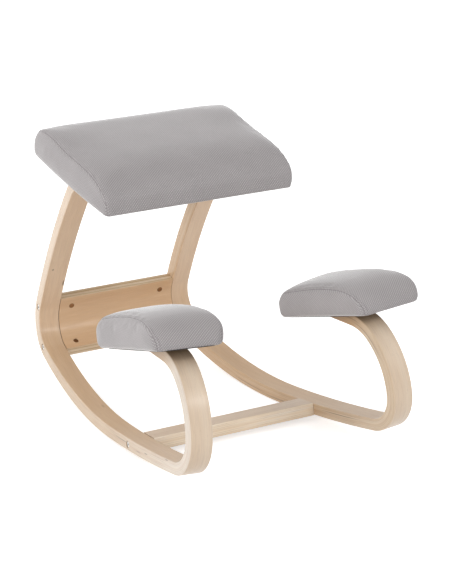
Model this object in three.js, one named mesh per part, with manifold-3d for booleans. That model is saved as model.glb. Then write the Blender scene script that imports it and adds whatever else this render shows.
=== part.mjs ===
// A rocking kneeling chair: two bent-laminated side frames, each one unbroken ribbon that is knee rest,
// front leg, rocker, upright and seat rest in turn, tied by a bent rear panel and a flat crossbar, with a
// seat cushion and two knee cushions on plywood boards. Lengths are in millimetres, X across, Y to the
// rear, Z up.
import * as THREE from "three";
import { mergeVertices } from "three/addons/utils/BufferGeometryUtils.js";
import Module from "manifold-3d";

const wasm = await Module();
wasm.setup();

const degree = Math.PI / 180;
const quarterTurn = 90 * degree;
const fullTurn = 360 * degree;

// Fits shared by every piece
const fitGap = 0.3; // between pieces that touch on the real chair
const overrun = 10; // how far a cutter runs past the face that it opens
const chordError = 0.1; // how far a facet may leave a round face
const cornerMerge = 0.003; // corners nearer than this are one

// The side frames: the laminated ribbon, and how each one splays to the front and leans in to the top
const ribbonWidth = 41;
const ribbonThickness = 23;
const ribbonEase = 2;
const splayAngle = 4.6 * degree;
const leanAngle = 2.9 * degree;
const trackWidth = 360; // between the ribbons' centres, where the rear runner starts

// The ribbon's centre line, from the point that rests on the floor forwards
const frontRunnerRadius = 2480;
const frontRunnerSweep = 6.6 * degree;
const frontBendRadius = 64;
const frontBendSweep = 87.2 * degree;
const legRadius = 141;
const legSweep = 45.6 * degree;
const kneeBendRadius = 91;
const kneeBendSweep = 37.6 * degree;
const kneeEndLength = 90;

// and from the same point backwards
const rearRunnerRadius = 770;
const rearRunnerSweep = 24.3 * degree;
const rearRunnerFlats = 8; // flats that draw the rear runner
const rearBendRadius = 67.6;
const rearBendSweep = 92.4 * degree;
const uprightRadius = 1240;
const uprightSweep = 13.8 * degree;
const seatBendRadius = 70;
const seatEndLength = 95;

// How the seat and the knee rests are tilted
const seatTilt = 13.9 * degree; // rear edge up
const kneeTilt = 12.5 * degree; // front edge up
const restFlats = 1.5; // flats from the rear runner's start to the middle of the one that bears the weight

// The seat
const seatBesideBolts = 39.4; // from a frame's front bolt to the cushion's side
const seatLength = 300;
const seatHeight = 56;
const seatCrown = 10;
const seatFrontOverhang = 50; // from the end of the frames to the front of the cushion

// The knee rests
const kneeWidth = 128;
const kneeLength = 258;
const kneeHeight = 55;
const kneeCrown = 12;
const kneeFrontOverhang = 90; // from the top of the knee bend to the front of the cushion
const kneeOutset = 6; // how far outside its ribbon's middle each knee rest is centred

// The cushions' side outline, as shares of a cushion's length and height, and their fabric
const frontWallShare = 0.16;
const waterfallPullShare = 0.7;
const waterfallReachShare = 0.13;
const peakShare = 0.48;
const rearDropShare = 0.09;
const rearRoundShare = 0.12;
const crownPower = 3; // the crown falls off with this power of the distance from the middle
const cushionSeamRound = 7;
const cushionPullIn = 3; // how far each side is drawn in between its corners
const fabricThickness = 1.5; // with the fleece behind it
const cushionSteps = 5;
const cushionRoundSteps = 2;
const cushionCurveSteps = 7;

// The boards under the cushions, and the cloth that closes them below
const seatBoardThickness = 12;
const kneeBoardThickness = 10;
const boardInset = 18; // from a cushion's edge to its board's
const boardCorner = 14;
const clothThickness = 1;
const clothInset = 10;
const clothCorner = 18;
const cornerSteps = 3;

// The bent rear panel
const panelThickness = 18;
const panelBelowBend = 8; // along the runner
const panelAboveBend = 14; // along the upright
const panelEase = 2;

// The crossbar
const crossbarDepth = 46;
const crossbarThickness = 25;
const crossbarEase = 3;
const crossbarFromRest = 88; // from the point of rest forwards to its centre
const easeSteps = 3;

// Bolts with a hexagon socket, the barrel nuts that they catch and the tee nuts in the boards
const boltDiameter = 6;
const boltHeadDiameter = 12;
const boltHeadHeight = 5;
const boltHeadSink = 1.2;
const socketAcrossCorners = 4.6;
const socketDepth = 2.8;
const boltClearance = 0.4;
const boltPastNut = 3;
const barrelNutDiameter = 10;
const barrelNutSink = 1.5;
const barrelNutFromEnd = 26;
const barrelNutSlotWidth = 1.2;
const barrelNutSlotDepth = 1.2;
const teeNutFlangeDiameter = 19;
const teeNutFlangeThickness = 1.5;
const teeNutBarrelDiameter = 8;
const panelBoltInsetShare = 0.17; // of the panel's length along the bend
const seatFrontBoltShare = 0.25; // of the ribbon's seat end, from its tip
const seatRearBoltShare = 0.8;
const kneeFrontBoltPlace = 14; // from the top of the knee bend, along the knee rest
const kneeRearBoltPlace = 46;
const kneeFrontBoltDepth = 11; // from the knee rest down to the bolt's head
const kneeRearBoltDepth = 7.5;
const roundSides = 16;
const smallRoundSides = 10;

// Finishes
const paint = (name, color, roughness, metalness) =>
  new THREE.MeshStandardMaterial({ name, color, roughness, metalness });
const birch = () => paint("lacquered birch lamination", 0xd9c3a5, 0.5, 0);
const plywood = () => paint("birch plywood", 0xc9ab84, 0.6, 0);
const fabric = () => paint("woven upholstery fabric", 0xaba6a6, 0.95, 0);
const nonwoven = () => paint("black nonwoven cloth", 0x2e2d2f, 0.95, 0);
const zinc = () => paint("zinc-plated steel", 0xb9bcc0, 0.35, 1);
const darkSteel = () => paint("blackened steel", 0x4a3a2e, 0.5, 0.8);
const foam = () => paint("polyurethane foam", 0xe8dfc0, 1, 0);

const chair = new THREE.Group();

// A mesh in a group, with its own material
function addPiece(parent, name, geometry, material) {
  const mesh = new THREE.Mesh(geometry, material);
  mesh.name = name;
  parent.add(mesh);
  return mesh;
}

// Joining and cutting
function toSolid(geometry) {
  const bare = geometry.clone();
  bare.deleteAttribute("normal");
  bare.deleteAttribute("uv");
  const merged = mergeVertices(bare, cornerMerge);
  return new wasm.Manifold(
    new wasm.Mesh({
      numProp: 3,
      vertProperties: merged.attributes.position.array,
      triVerts: new Uint32Array(merged.index.array),
    }),
  );
}

function toGeometry(solid) {
  const mesh = solid.getMesh();
  const indexed = new THREE.BufferGeometry();
  indexed.setAttribute("position", new THREE.BufferAttribute(mesh.vertProperties, mesh.numProp));
  indexed.setIndex(new THREE.BufferAttribute(mesh.triVerts, 1));
  const geometry = indexed.toNonIndexed();
  geometry.computeVertexNormals();
  return geometry;
}

function cut(geometry, cutters) {
  let solid = toSolid(geometry);
  for (const cutter of cutters) solid = solid.subtract(toSolid(cutter));
  return toGeometry(solid);
}

function join(geometry, others) {
  let solid = toSolid(geometry);
  for (const other of others) solid = solid.add(toSolid(other));
  return toGeometry(solid);
}

// A shape drawn in Y and Z, drawn out along X about the middle plane
const acrossAxes = new THREE.Matrix4().makeBasis(
  new THREE.Vector3(0, 1, 0),
  new THREE.Vector3(0, 0, 1),
  new THREE.Vector3(1, 0, 0),
);

function drawAcross(shape, width, ease, options = {}) {
  const geometry = new THREE.ExtrudeGeometry(shape, {
    depth: width - ease - ease,
    bevelEnabled: ease > 0,
    bevelThickness: ease,
    bevelSize: ease,
    bevelOffset: -ease,
    bevelSegments: 1,
    ...options,
  });
  return geometry.translate(0, 0, ease - width / 2).applyMatrix4(acrossAxes);
}

// A rectangle with round corners, lying in X and Y about the origin, drawn up along Z from zero
function roundedPlate(width, length, thickness, corner) {
  const shape = new THREE.Shape();
  const x = width / 2 - corner;
  const y = length / 2 - corner;
  shape.absarc(x, y, corner, 0, quarterTurn);
  shape.absarc(-x, y, corner, quarterTurn, 2 * quarterTurn);
  shape.absarc(-x, -y, corner, 2 * quarterTurn, 3 * quarterTurn);
  shape.absarc(x, -y, corner, 3 * quarterTurn, fullTurn);
  return new THREE.ExtrudeGeometry(shape, {
    depth: thickness,
    bevelEnabled: false,
    curveSegments: cornerSteps,
  });
}

// A round bar up along Z from one height to another
function roundBar(diameter, from, to, sides = roundSides) {
  const bar = new THREE.CylinderGeometry(diameter / 2, diameter / 2, to - from, sides);
  return bar.rotateX(quarterTurn).translate(0, 0, (from + to) / 2);
}

// The ribbon's centre line. Each stretch is an arc or, with no radius, straight.
const alongFront = [
  { radius: frontRunnerRadius, sweep: frontRunnerSweep },
  { radius: frontBendRadius, sweep: frontBendSweep },
  { radius: legRadius, sweep: legSweep },
  { radius: kneeBendRadius, sweep: kneeBendSweep },
  { length: kneeEndLength },
];
const seatBendSweep =
  2 * quarterTurn + seatTilt - rearRunnerSweep - rearBendSweep - uprightSweep;
const alongRear = [
  { radius: rearRunnerRadius, sweep: rearRunnerSweep, flats: rearRunnerFlats },
  { radius: rearBendRadius, sweep: rearBendSweep },
  { radius: uprightRadius, sweep: uprightSweep },
  { radius: seatBendRadius, sweep: seatBendSweep },
  { length: seatEndLength },
];

const stretchLength = (stretch) => stretch.length ?? stretch.radius * stretch.sweep;

// The station a given way along: its point on the centre line, its heading and the side that faces out.
// way is -1 to walk forwards from the point of rest, and 1 to walk backwards.
function stationAt(stretches, way, distance) {
  const point = new THREE.Vector2(0, ribbonThickness / 2);
  let heading = 0;
  let left = distance;
  for (const [index, stretch] of stretches.entries()) {
    const last = index === stretches.length - 1;
    const step = last ? left : Math.min(left, stretchLength(stretch));
    if (stretch.radius) {
      const turn = step / stretch.radius;
      const chord = 2 * stretch.radius * Math.sin(turn / 2);
      point.x += way * chord * Math.cos(heading + turn / 2);
      point.y += chord * Math.sin(heading + turn / 2);
      heading += turn;
    } else {
      point.x += way * step * Math.cos(heading);
      point.y += step * Math.sin(heading);
    }
    left -= step;
    if (left <= 0) break;
  }
  const tangent = new THREE.Vector2(way * Math.cos(heading), Math.sin(heading));
  const outward = new THREE.Vector2(way * Math.sin(heading), -Math.cos(heading));
  return { point, tangent, outward, heading };
}

// The length of a stretch that one facet covers at most: one of its flats, or what the chord error allows
function facetLength(stretch) {
  if (!stretch.radius) return stretch.length;
  if (stretch.flats) return stretchLength(stretch) / stretch.flats;
  return 2 * stretch.radius * Math.acos(1 - chordError / (stretch.radius + ribbonThickness / 2));
}

// Distances at which the ribbon has a facet edge, between two distances along one walk
function facetDistances(stretches, from, to) {
  const distances = [from];
  let start = 0;
  for (const stretch of stretches) {
    const length = stretchLength(stretch);
    const low = Math.max(from, start);
    const high = Math.min(to, start + length);
    if (high > low) {
      const count = Math.ceil((high - low) / facetLength(stretch) - cornerMerge / length);
      for (let i = 1; i <= count; i++) distances.push(low + ((high - low) * i) / count);
    }
    start += length;
  }
  return distances;
}

const walkLength = (stretches, count = stretches.length) =>
  stretches.slice(0, count).reduce((sum, stretch) => sum + stretchLength(stretch), 0);

const offset = (station, out) => station.point.clone().addScaledVector(station.outward, out);

const frontStations = facetDistances(alongFront, 0, walkLength(alongFront)).map((distance) =>
  stationAt(alongFront, -1, distance),
);
const rearStations = facetDistances(alongRear, 0, walkLength(alongRear)).map((distance) =>
  stationAt(alongRear, 1, distance),
);
const ribbonStations = [...frontStations.slice(1).reverse(), ...rearStations];

// The knee rest's plane starts where the ribbon's upper face leaves the knee bend
const kneeTop = stationAt(alongFront, -1, walkLength(alongFront, alongFront.length - 1));
const kneePlaneStart = offset(kneeTop, ribbonThickness / 2);
// The seat rest's plane is the upper face of the ribbon's seat end
const seatEndTip = stationAt(alongRear, 1, walkLength(alongRear));

// The side frame's own plane, as a pair of nested groups
function sideGroup(side) {
  const splay = new THREE.Group();
  const lean = new THREE.Group();
  splay.position.x = (side * trackWidth) / 2;
  splay.rotation.z = side * splayAngle;
  lean.rotation.y = -side * leanAngle;
  splay.add(lean);
  chair.add(splay);
  splay.updateMatrixWorld(true);
  return lean;
}
const sides = [
  { name: "left", side: -1, group: sideGroup(-1) },
  { name: "right", side: 1, group: sideGroup(1) },
];
const rightGroup = sides[1].group;
const rightMatrix = rightGroup.matrixWorld;

// From a side frame's plane to the chair, at its inner face, and that face's distance from the middle
function innerFacePoint(point) {
  return new THREE.Vector3(-ribbonWidth / 2, point.x, point.y).applyMatrix4(rightMatrix);
}
const innerNormal = new THREE.Vector3(1, 0, 0).transformDirection(rightMatrix);
const innerPoint = innerFacePoint(new THREE.Vector2(0, 0));
function innerFaceX(y, z) {
  const rest = innerNormal.y * (y - innerPoint.y) + innerNormal.z * (z - innerPoint.z);
  return innerPoint.x - (rest + fitGap) / innerNormal.x;
}

// A strip drawn between the side frames: a shape in Y and Z, with both ends trimmed to the inner faces
function drawBetweenFrames(shape) {
  const geometry = drawAcross(shape, 1, 0);
  const positions = geometry.getAttribute("position");
  for (let i = 0; i < positions.count; i++) {
    const reach = innerFaceX(positions.getY(i), positions.getZ(i));
    positions.setX(i, 2 * positions.getX(i) * reach);
  }
  return geometry;
}

// Places along X in a side frame for a bolt from its sunk head in the outer face to past its barrel nut
const crossBoltHeadTop = ribbonWidth / 2 - boltHeadSink;
const crossNutPlace = -ribbonWidth / 2 - fitGap - barrelNutFromEnd;
const crossBoltTip = crossNutPlace - barrelNutDiameter / 2 - boltPastNut;

// Turns a bar along Z into one along X
const alongX = (geometry) => geometry.rotateY(quarterTurn);

// A bolt along Z, with its head's top and seat and its tip at given heights, head up
function boltGeometry(headTop, tip) {
  const head = roundBar(boltHeadDiameter, headTop - boltHeadHeight, headTop);
  const shank = roundBar(boltDiameter, tip, headTop - boltHeadHeight / 2, smallRoundSides);
  const hexagonSides = 6;
  const socket = roundBar(socketAcrossCorners, headTop - socketDepth, headTop + overrun, hexagonSides);
  return cut(join(head, [shank]), [socket]);
}

// The hole that a sunk bolt needs, from the open side at the top down past its tip
function boltHoleGeometries(headTop, tip) {
  const headSeat = headTop - boltHeadHeight - boltClearance;
  return [
    roundBar(boltHeadDiameter + 2 * boltClearance, headSeat, headTop + ribbonThickness),
    roundBar(boltDiameter + 2 * boltClearance, tip - boltClearance, headTop, smallRoundSides),
  ];
}

// A barrel nut along Z with its cross hole along X and a screwdriver slot in its top
function barrelNutGeometry(bottom, top) {
  const body = roundBar(barrelNutDiameter, bottom, top);
  const crossHole = alongX(
    roundBar(boltDiameter + 2 * boltClearance, -overrun, overrun, smallRoundSides),
  );
  const slot = new THREE.BoxGeometry(
    barrelNutDiameter + overrun,
    barrelNutSlotWidth,
    2 * barrelNutSlotDepth,
  ).translate(0, 0, top);
  return cut(body, [crossHole, slot]);
}

// Where the cross bolts sit on the ribbon
const bendStart = walkLength(alongRear, 1);
const bendEnd = walkLength(alongRear, 2);
const panelFrom = bendStart - panelBelowBend;
const panelTo = bendEnd + panelAboveBend;
const panelBoltInset = (panelTo - panelFrom) * panelBoltInsetShare;
const panelMiddleOut = panelThickness / 2 - ribbonThickness / 2;
const crossBolts = [
  {
    name: "rear_panel_upper",
    station: stationAt(alongRear, 1, panelTo - panelBoltInset),
    out: panelMiddleOut,
    half: panelThickness / 2,
  },
  {
    name: "rear_panel_lower",
    station: stationAt(alongRear, 1, panelFrom + panelBoltInset),
    out: panelMiddleOut,
    half: panelThickness / 2,
  },
  {
    name: "crossbar",
    station: stationAt(alongFront, -1, crossbarFromRest),
    out: 0,
    half: crossbarThickness / 2,
  },
];

// The matrix that stands Z on a station's inward side, with X across, at the bolt's own depth in the ribbon
function stationMatrix({ station, out }, flip) {
  const centre = offset(station, out);
  const inward = station.outward.clone().multiplyScalar(flip ? 1 : -1);
  const zAxis = new THREE.Vector3(0, inward.x, inward.y);
  const xAxis = new THREE.Vector3(1, 0, 0);
  const yAxis = new THREE.Vector3().crossVectors(zAxis, xAxis);
  return new THREE.Matrix4()
    .makeBasis(xAxis, yAxis, zAxis)
    .setPosition(0, centre.x, centre.y);
}

// The seat's and the knee rests' planes: origin on the plane, Y to the rear along it, Z up out of it
function planeMatrix(point, angle) {
  return new THREE.Matrix4().makeRotationX(angle).setPosition(0, point.x, point.y);
}
const kneePlane = planeMatrix(kneePlaneStart, -kneeTilt);
const seatPlaneSide = planeMatrix(offset(seatEndTip, ribbonThickness / 2), seatTilt);

// The seat lies level from side to side, so the leaning ribbons are planed to its plane
const seatPlaning = (ribbonWidth / 2) * Math.sin(leanAngle);
const seatTip = new THREE.Vector3().applyMatrix4(seatPlaneSide).applyMatrix4(rightMatrix);
const seatPlane = new THREE.Matrix4()
  .makeRotationX(seatTilt)
  .setPosition(0, seatTip.y, seatTip.z)
  .multiply(new THREE.Matrix4().makeTranslation(0, 0, -seatPlaning));

// The seat and knee bolts of one side, each with its own matrix in the side frame, head down
const headDown = new THREE.Matrix4().makeRotationX(2 * quarterTurn);
const seatHeadSeat = ribbonThickness - boltHeadSink - boltHeadHeight;

function boardBolt(name, plane, x, y, headSeat, boardThickness) {
  const matrix = plane
    .clone()
    .multiply(new THREE.Matrix4().makeTranslation(x, y, 0))
    .multiply(headDown);
  // along the bolt, positive towards its head, which is down out of the plane
  const headTop = headSeat + boltHeadHeight;
  const tip = -(fitGap + clothThickness + fitGap + boardThickness);
  return { name, matrix, headTop, tip, x, y };
}

function seatBoltsOf(group) {
  const intoGroup = group.matrixWorld.clone().invert().multiply(seatPlane);
  const bolt = (name, share) => {
    const place = new THREE.Vector3(0, share * seatEndLength, 0)
      .applyMatrix4(seatPlaneSide)
      .applyMatrix4(intoGroup.clone().invert());
    return boardBolt(name, intoGroup, place.x, place.y, seatHeadSeat, seatBoardThickness);
  };
  return [bolt("seat_front", seatFrontBoltShare), bolt("seat_rear", seatRearBoltShare)];
}
// the seat is as wide as its frames' bolts and the cushion beside them
const seatWidth = 2 * (seatBoltsOf(rightGroup)[0].x + seatBesideBolts);

const kneeBolts = [
  boardBolt("knee_front", kneePlane, 0, kneeFrontBoltPlace, kneeFrontBoltDepth, kneeBoardThickness),
  boardBolt("knee_rear", kneePlane, 0, kneeRearBoltPlace, kneeRearBoltDepth, kneeBoardThickness),
];

// The side frames
function sideFrameGeometry({ side, group }) {
  const outer = ribbonStations.map((station) => offset(station, ribbonThickness / 2));
  const inner = ribbonStations.map((station) => offset(station, -ribbonThickness / 2));
  const ribbon = drawAcross(
    new THREE.Shape([...outer, ...inner.reverse()]),
    ribbonWidth,
    ribbonEase,
  );
  // the knee end is planed flat along the knee rest, and the seat end along the seat
  const planeDepth = ribbonThickness + overrun;
  const planed = (width, length) =>
    new THREE.BoxGeometry(width, length, planeDepth).translate(0, 0, planeDepth / 2);
  const seatPlaneHere = group.matrixWorld.clone().invert().multiply(seatPlane);
  const cutters = [
    planed(ribbonWidth + overrun, 2 * kneeLength).applyMatrix4(kneePlane),
    planed(seatWidth, 2 * seatLength).applyMatrix4(seatPlaneHere),
  ];
  for (const bolt of crossBolts)
    for (const hole of boltHoleGeometries(crossBoltHeadTop, crossBoltTip)) {
      if (side < 0) hole.rotateX(2 * quarterTurn);
      cutters.push(alongX(hole).applyMatrix4(stationMatrix(bolt, false)));
    }
  for (const bolt of [...seatBoltsOf(group), ...kneeBolts])
    for (const hole of boltHoleGeometries(bolt.headTop, bolt.tip))
      cutters.push(hole.applyMatrix4(bolt.matrix));
  return cut(ribbon, cutters);
}

// A matrix taken from a side frame's plane to the chair
const inChair = (matrix, group) => group.matrixWorld.clone().multiply(matrix);

const panelCutters = [];
const crossbarCutters = [];
for (const frameSide of sides) {
  const { name, side, group } = frameSide;
  addPiece(group, `${name}_side_frame`, sideFrameGeometry(frameSide), birch());
  for (const bolt of crossBolts) {
    const onCrossbar = bolt.name === "crossbar";
    // the crossbar's barrel nuts go in from below, and the panel's from its hollow face
    const matrix = stationMatrix(bolt, onCrossbar);
    const nutMatrix = matrix
      .clone()
      .multiply(new THREE.Matrix4().makeTranslation(side * crossNutPlace, 0, 0));
    const boltShape = boltGeometry(crossBoltHeadTop, crossBoltTip);
    if (side < 0) boltShape.rotateX(2 * quarterTurn);
    addPiece(
      group,
      `${name}_${bolt.name}_bolt`,
      alongX(boltShape).applyMatrix4(stationMatrix(bolt, false)),
      zinc(),
    );
    const nutBottom = barrelNutSink - bolt.half;
    const nutTop = bolt.half - barrelNutSink;
    addPiece(
      group,
      `${name}_${bolt.name}_barrel_nut`,
      barrelNutGeometry(nutBottom, nutTop).applyMatrix4(nutMatrix),
      darkSteel(),
    );
    const cutters = onCrossbar ? crossbarCutters : panelCutters;
    const boltHole = roundBar(
      boltDiameter + 2 * boltClearance,
      crossBoltTip - boltClearance,
      0,
      smallRoundSides,
    );
    if (side < 0) boltHole.rotateX(2 * quarterTurn);
    cutters.push(alongX(boltHole).applyMatrix4(inChair(stationMatrix(bolt, false), group)));
    cutters.push(
      roundBar(barrelNutDiameter + 2 * fitGap, nutBottom - fitGap, bolt.half + overrun).applyMatrix4(
        inChair(nutMatrix, group),
      ),
    );
  }
}

// The rear panel follows the ribbon's hollow face round the rear bend
function panelShape() {
  const stations = facetDistances(alongRear, panelFrom + panelEase, panelTo - panelEase).map(
    (distance) => stationAt(alongRear, 1, distance),
  );
  const hollow = -ribbonThickness / 2;
  const place = (station, out) => {
    const world = innerFacePoint(offset(station, out));
    return new THREE.Vector2(world.y, world.z);
  };
  // an end rounds over from one face to the other by its ease
  const roundEnd = (station, way) => {
    const points = [];
    for (let i = 0; i <= easeSteps; i++) {
      const turn = (quarterTurn * i) / easeSteps;
      const out = panelThickness - panelEase * (1 - Math.cos(turn));
      const base = place(station, hollow + out);
      points.push(base.addScaledVector(station.tangent, way * panelEase * Math.sin(turn)));
    }
    for (let i = easeSteps; i >= 0; i--) {
      const turn = (quarterTurn * i) / easeSteps;
      const base = place(station, hollow + panelEase * (1 - Math.cos(turn)));
      points.push(base.addScaledVector(station.tangent, way * panelEase * Math.sin(turn)));
    }
    return points;
  };
  const back = stations.slice(1, -1).map((s) => place(s, hollow + panelThickness));
  const face = stations.slice(1, -1).map((s) => place(s, hollow));
  return new THREE.Shape([
    ...back,
    ...roundEnd(stations.at(-1), 1),
    ...face.reverse(),
    ...roundEnd(stations[0], -1).reverse(),
  ]);
}
addPiece(chair, "rear_panel", cut(drawBetweenFrames(panelShape()), panelCutters), plywood());

// The crossbar lies along the runners at its station
function crossbarShape() {
  const { station } = crossBolts.at(-1);
  const centre = innerFacePoint(station.point);
  const shape = new THREE.Shape();
  const y = crossbarDepth / 2 - crossbarEase;
  const z = crossbarThickness / 2 - crossbarEase;
  shape.absarc(y, z, crossbarEase, 0, quarterTurn);
  shape.absarc(-y, z, crossbarEase, quarterTurn, 2 * quarterTurn);
  shape.absarc(-y, -z, crossbarEase, 2 * quarterTurn, 3 * quarterTurn);
  shape.absarc(y, -z, crossbarEase, 3 * quarterTurn, fullTurn);
  const points = shape.getPoints(easeSteps).slice(0, -1);
  const origin = new THREE.Vector2(0, 0);
  const middle = new THREE.Vector2(centre.y, centre.z);
  return new THREE.Shape(
    points.map((point) => point.rotateAround(origin, -station.heading).add(middle)),
  );
}
addPiece(
  chair,
  "front_crossbar",
  cut(drawBetweenFrames(crossbarShape()), crossbarCutters),
  plywood(),
);

// A cushion's form, drawn in from its outer size by a skin all round, with the outer front edge at Y zero:
// a side outline with a waterfall front, drawn across and crowned
function cushionGeometry(outer, skin = 0) {
  const width = outer.width - 2 * skin;
  const length = outer.length - 2 * skin;
  const height = outer.height - 2 * skin;
  const frontWall = height * frontWallShare;
  const rearTop = height * (1 - rearDropShare);
  const rearRound = length * rearRoundShare;
  const peak = length * peakShare;
  const outline = new THREE.Shape();
  outline.moveTo(0, 0);
  outline.lineTo(length, 0);
  outline.lineTo(length, rearTop - rearRound);
  outline.quadraticCurveTo(length, rearTop, length - rearRound, rearTop);
  outline.quadraticCurveTo((length - rearRound + peak) / 2, height, peak, height);
  outline.bezierCurveTo(
    length * waterfallReachShare,
    height,
    0,
    frontWall + (height - frontWall) * waterfallPullShare,
    0,
    frontWall,
  );
  const geometry = drawAcross(outline, width, cushionSeamRound, {
    steps: cushionSteps,
    bevelSegments: cushionRoundSteps,
    curveSegments: cushionCurveSteps,
  });
  // the crown lifts the middle, and each side is drawn in between its corners
  const positions = geometry.getAttribute("position");
  for (let i = 0; i < positions.count; i++) {
    const x = positions.getX(i);
    const y = positions.getY(i);
    const z = positions.getZ(i);
    const across = (2 * x) / width;
    const along = (2 * y) / length - 1;
    positions.setX(i, x * (1 - ((2 * cushionPullIn) / width) * (1 - along * along)));
    positions.setZ(i, z * (1 + (outer.crown / height) * (1 - Math.abs(across) ** crownPower)));
  }
  return geometry.translate(0, skin, skin);
}

// A plate of the cushion's size less an inset, with a hole for each bolt
function drilledPlate(size, inset, thickness, corner, bottom, drills) {
  const plate = roundedPlate(size.width - 2 * inset, size.length - 2 * inset, thickness, corner);
  const cutters = size.bolts.flatMap(({ x, y }) =>
    drills.map(({ diameter, from, sides }) =>
      roundBar(diameter, from, bottom + thickness + overrun, sides).translate(x, y, 0),
    ),
  );
  return cut(plate.translate(0, size.length / 2, bottom), cutters);
}

// A tee nut: a flange and a barrel with the thread's hole through both
function teeNutGeometry(bottom, top) {
  const flange = roundBar(teeNutFlangeDiameter, top - teeNutFlangeThickness, top);
  const barrel = roundBar(teeNutBarrelDiameter, bottom, top, smallRoundSides);
  const hole = roundBar(boltDiameter + 2 * fitGap, bottom - overrun, top + overrun, smallRoundSides);
  return cut(join(flange, [barrel]), [hole]);
}

// A cushion of foam in a fabric cover, round its board, with a cloth that closes it below. The plane's
// origin is at the front of the cushion.
function addUpholstery(parent, place, name, size) {
  const clothBottom = fitGap;
  const boardBottom = clothBottom + clothThickness + fitGap;
  const boardTop = boardBottom + size.boardThickness;
  const add = (part, geometry, material) =>
    addPiece(parent, `${name}_${part}`, geometry.applyMatrix4(place), material);

  // the cover is turned under to the board's edge, and the foam fits inside it
  const pocket = roundedPlate(
    size.width - 2 * boardInset + 2 * fitGap,
    size.length - 2 * boardInset + 2 * fitGap,
    boardTop + fitGap + overrun,
    boardCorner + fitGap,
  ).translate(0, size.length / 2, -overrun);
  const form = (skin) => cushionGeometry(size, skin).translate(0, 0, boardBottom);
  add("fabric_cover", cut(form(0), [form(fabricThickness), pocket]), fabric());
  add("foam", cut(form(fabricThickness + fitGap), [pocket]), foam());

  const nutTop = boardTop - fitGap;
  const board = drilledPlate(size, boardInset, size.boardThickness, boardCorner, boardBottom, [
    { diameter: teeNutBarrelDiameter + 2 * fitGap, from: 0 },
    { diameter: teeNutFlangeDiameter + 2 * fitGap, from: nutTop - teeNutFlangeThickness - fitGap },
  ]);
  add("board", board, plywood());

  const cloth = drilledPlate(size, clothInset, clothThickness, clothCorner, clothBottom, [
    { diameter: boltDiameter + 2 * boltClearance, from: -overrun, sides: smallRoundSides },
  ]);
  add("underside_cloth", cloth, nonwoven());

  for (const bolt of size.bolts) {
    const nut = teeNutGeometry(boardBottom + fitGap, nutTop).translate(bolt.x, bolt.y, 0);
    addPiece(parent, bolt.nutName, nut.applyMatrix4(place), zinc());
  }
}

// The bolts that hold the boards, in the side frames
for (const { name, group } of sides)
  for (const bolt of [...seatBoltsOf(group), ...kneeBolts])
    addPiece(
      group,
      `${name}_${bolt.name}_bolt`,
      boltGeometry(bolt.headTop, bolt.tip).applyMatrix4(bolt.matrix),
      zinc(),
    );

// The knee rests ride in their side frames' planes
for (const { name, side, group } of sides) {
  const kneeOffset = side * kneeOutset;
  addUpholstery(
    group,
    kneePlane.clone().multiply(new THREE.Matrix4().makeTranslation(kneeOffset, -kneeFrontOverhang, 0)),
    `${name}_knee`,
    {
      width: kneeWidth,
      length: kneeLength,
      height: kneeHeight,
      crown: kneeCrown,
      boardThickness: kneeBoardThickness,
      bolts: kneeBolts.map((bolt) => ({
        x: bolt.x - kneeOffset,
        y: bolt.y + kneeFrontOverhang,
        nutName: `${name}_${bolt.name}_tee_nut`,
      })),
    },
  );
}

// The seat rests on the two seat ends
const seatPlace = seatPlane
  .clone()
  .multiply(new THREE.Matrix4().makeTranslation(0, -seatFrontOverhang, 0));
addUpholstery(chair, seatPlace, "seat", {
  width: seatWidth,
  length: seatLength,
  height: seatHeight,
  crown: seatCrown,
  boardThickness: seatBoardThickness,
  bolts: sides.flatMap(({ name, group }) =>
    seatBoltsOf(group).map((bolt) => ({
      x: bolt.x,
      y: bolt.y + seatFrontOverhang,
      nutName: `${name}_${bolt.name}_tee_nut`,
    })),
  ),
});

// At rest the chair has rocked back on to the flat that its weight comes over, with the floor at zero
chair.rotation.x = -(rearRunnerSweep / rearRunnerFlats) * restFlats;
chair.updateMatrixWorld(true);
const bounds = new THREE.Box3().setFromObject(chair, true);
chair.position.set(0, -(bounds.min.y + bounds.max.y) / 2, -bounds.min.z);

export default chair;
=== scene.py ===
# %% [markdown]
# # A rocking kneeling chair
# Two ribbons of laminated birch are bent so that each one is knee rest, leg, runner, upright and
# seat rest in a single sweep. A bent plywood panel and a flat crossbar tie them together. A seat
# and two knee rests, foam in a woven cover, are bolted on top. The packed model holds the sizes
# and places, and this lesson makes every surface that the eye meets. It starts by loading that
# model as a fixed frame and keeping its box, so that the finished chair can be measured against it.

# %% Load the frame
import math
from functools import partial
from types import SimpleNamespace

import bmesh
import bpy
from mathutils import Matrix, Vector, geometry, noise


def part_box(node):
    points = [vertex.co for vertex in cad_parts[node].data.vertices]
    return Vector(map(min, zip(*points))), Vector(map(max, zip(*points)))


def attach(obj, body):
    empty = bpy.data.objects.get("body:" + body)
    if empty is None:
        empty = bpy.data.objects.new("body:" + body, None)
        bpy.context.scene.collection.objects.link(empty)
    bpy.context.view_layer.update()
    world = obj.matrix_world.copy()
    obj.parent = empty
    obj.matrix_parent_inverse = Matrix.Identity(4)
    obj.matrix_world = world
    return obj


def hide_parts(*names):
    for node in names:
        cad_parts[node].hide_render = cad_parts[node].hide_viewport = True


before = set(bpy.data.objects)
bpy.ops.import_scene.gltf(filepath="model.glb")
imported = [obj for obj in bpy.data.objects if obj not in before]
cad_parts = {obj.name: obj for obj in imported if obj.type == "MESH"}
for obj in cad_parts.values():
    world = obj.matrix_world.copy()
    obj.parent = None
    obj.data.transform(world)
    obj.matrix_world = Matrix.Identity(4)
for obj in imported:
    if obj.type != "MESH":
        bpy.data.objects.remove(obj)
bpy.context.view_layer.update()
print("nodes in the frame:", len(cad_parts))

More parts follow.
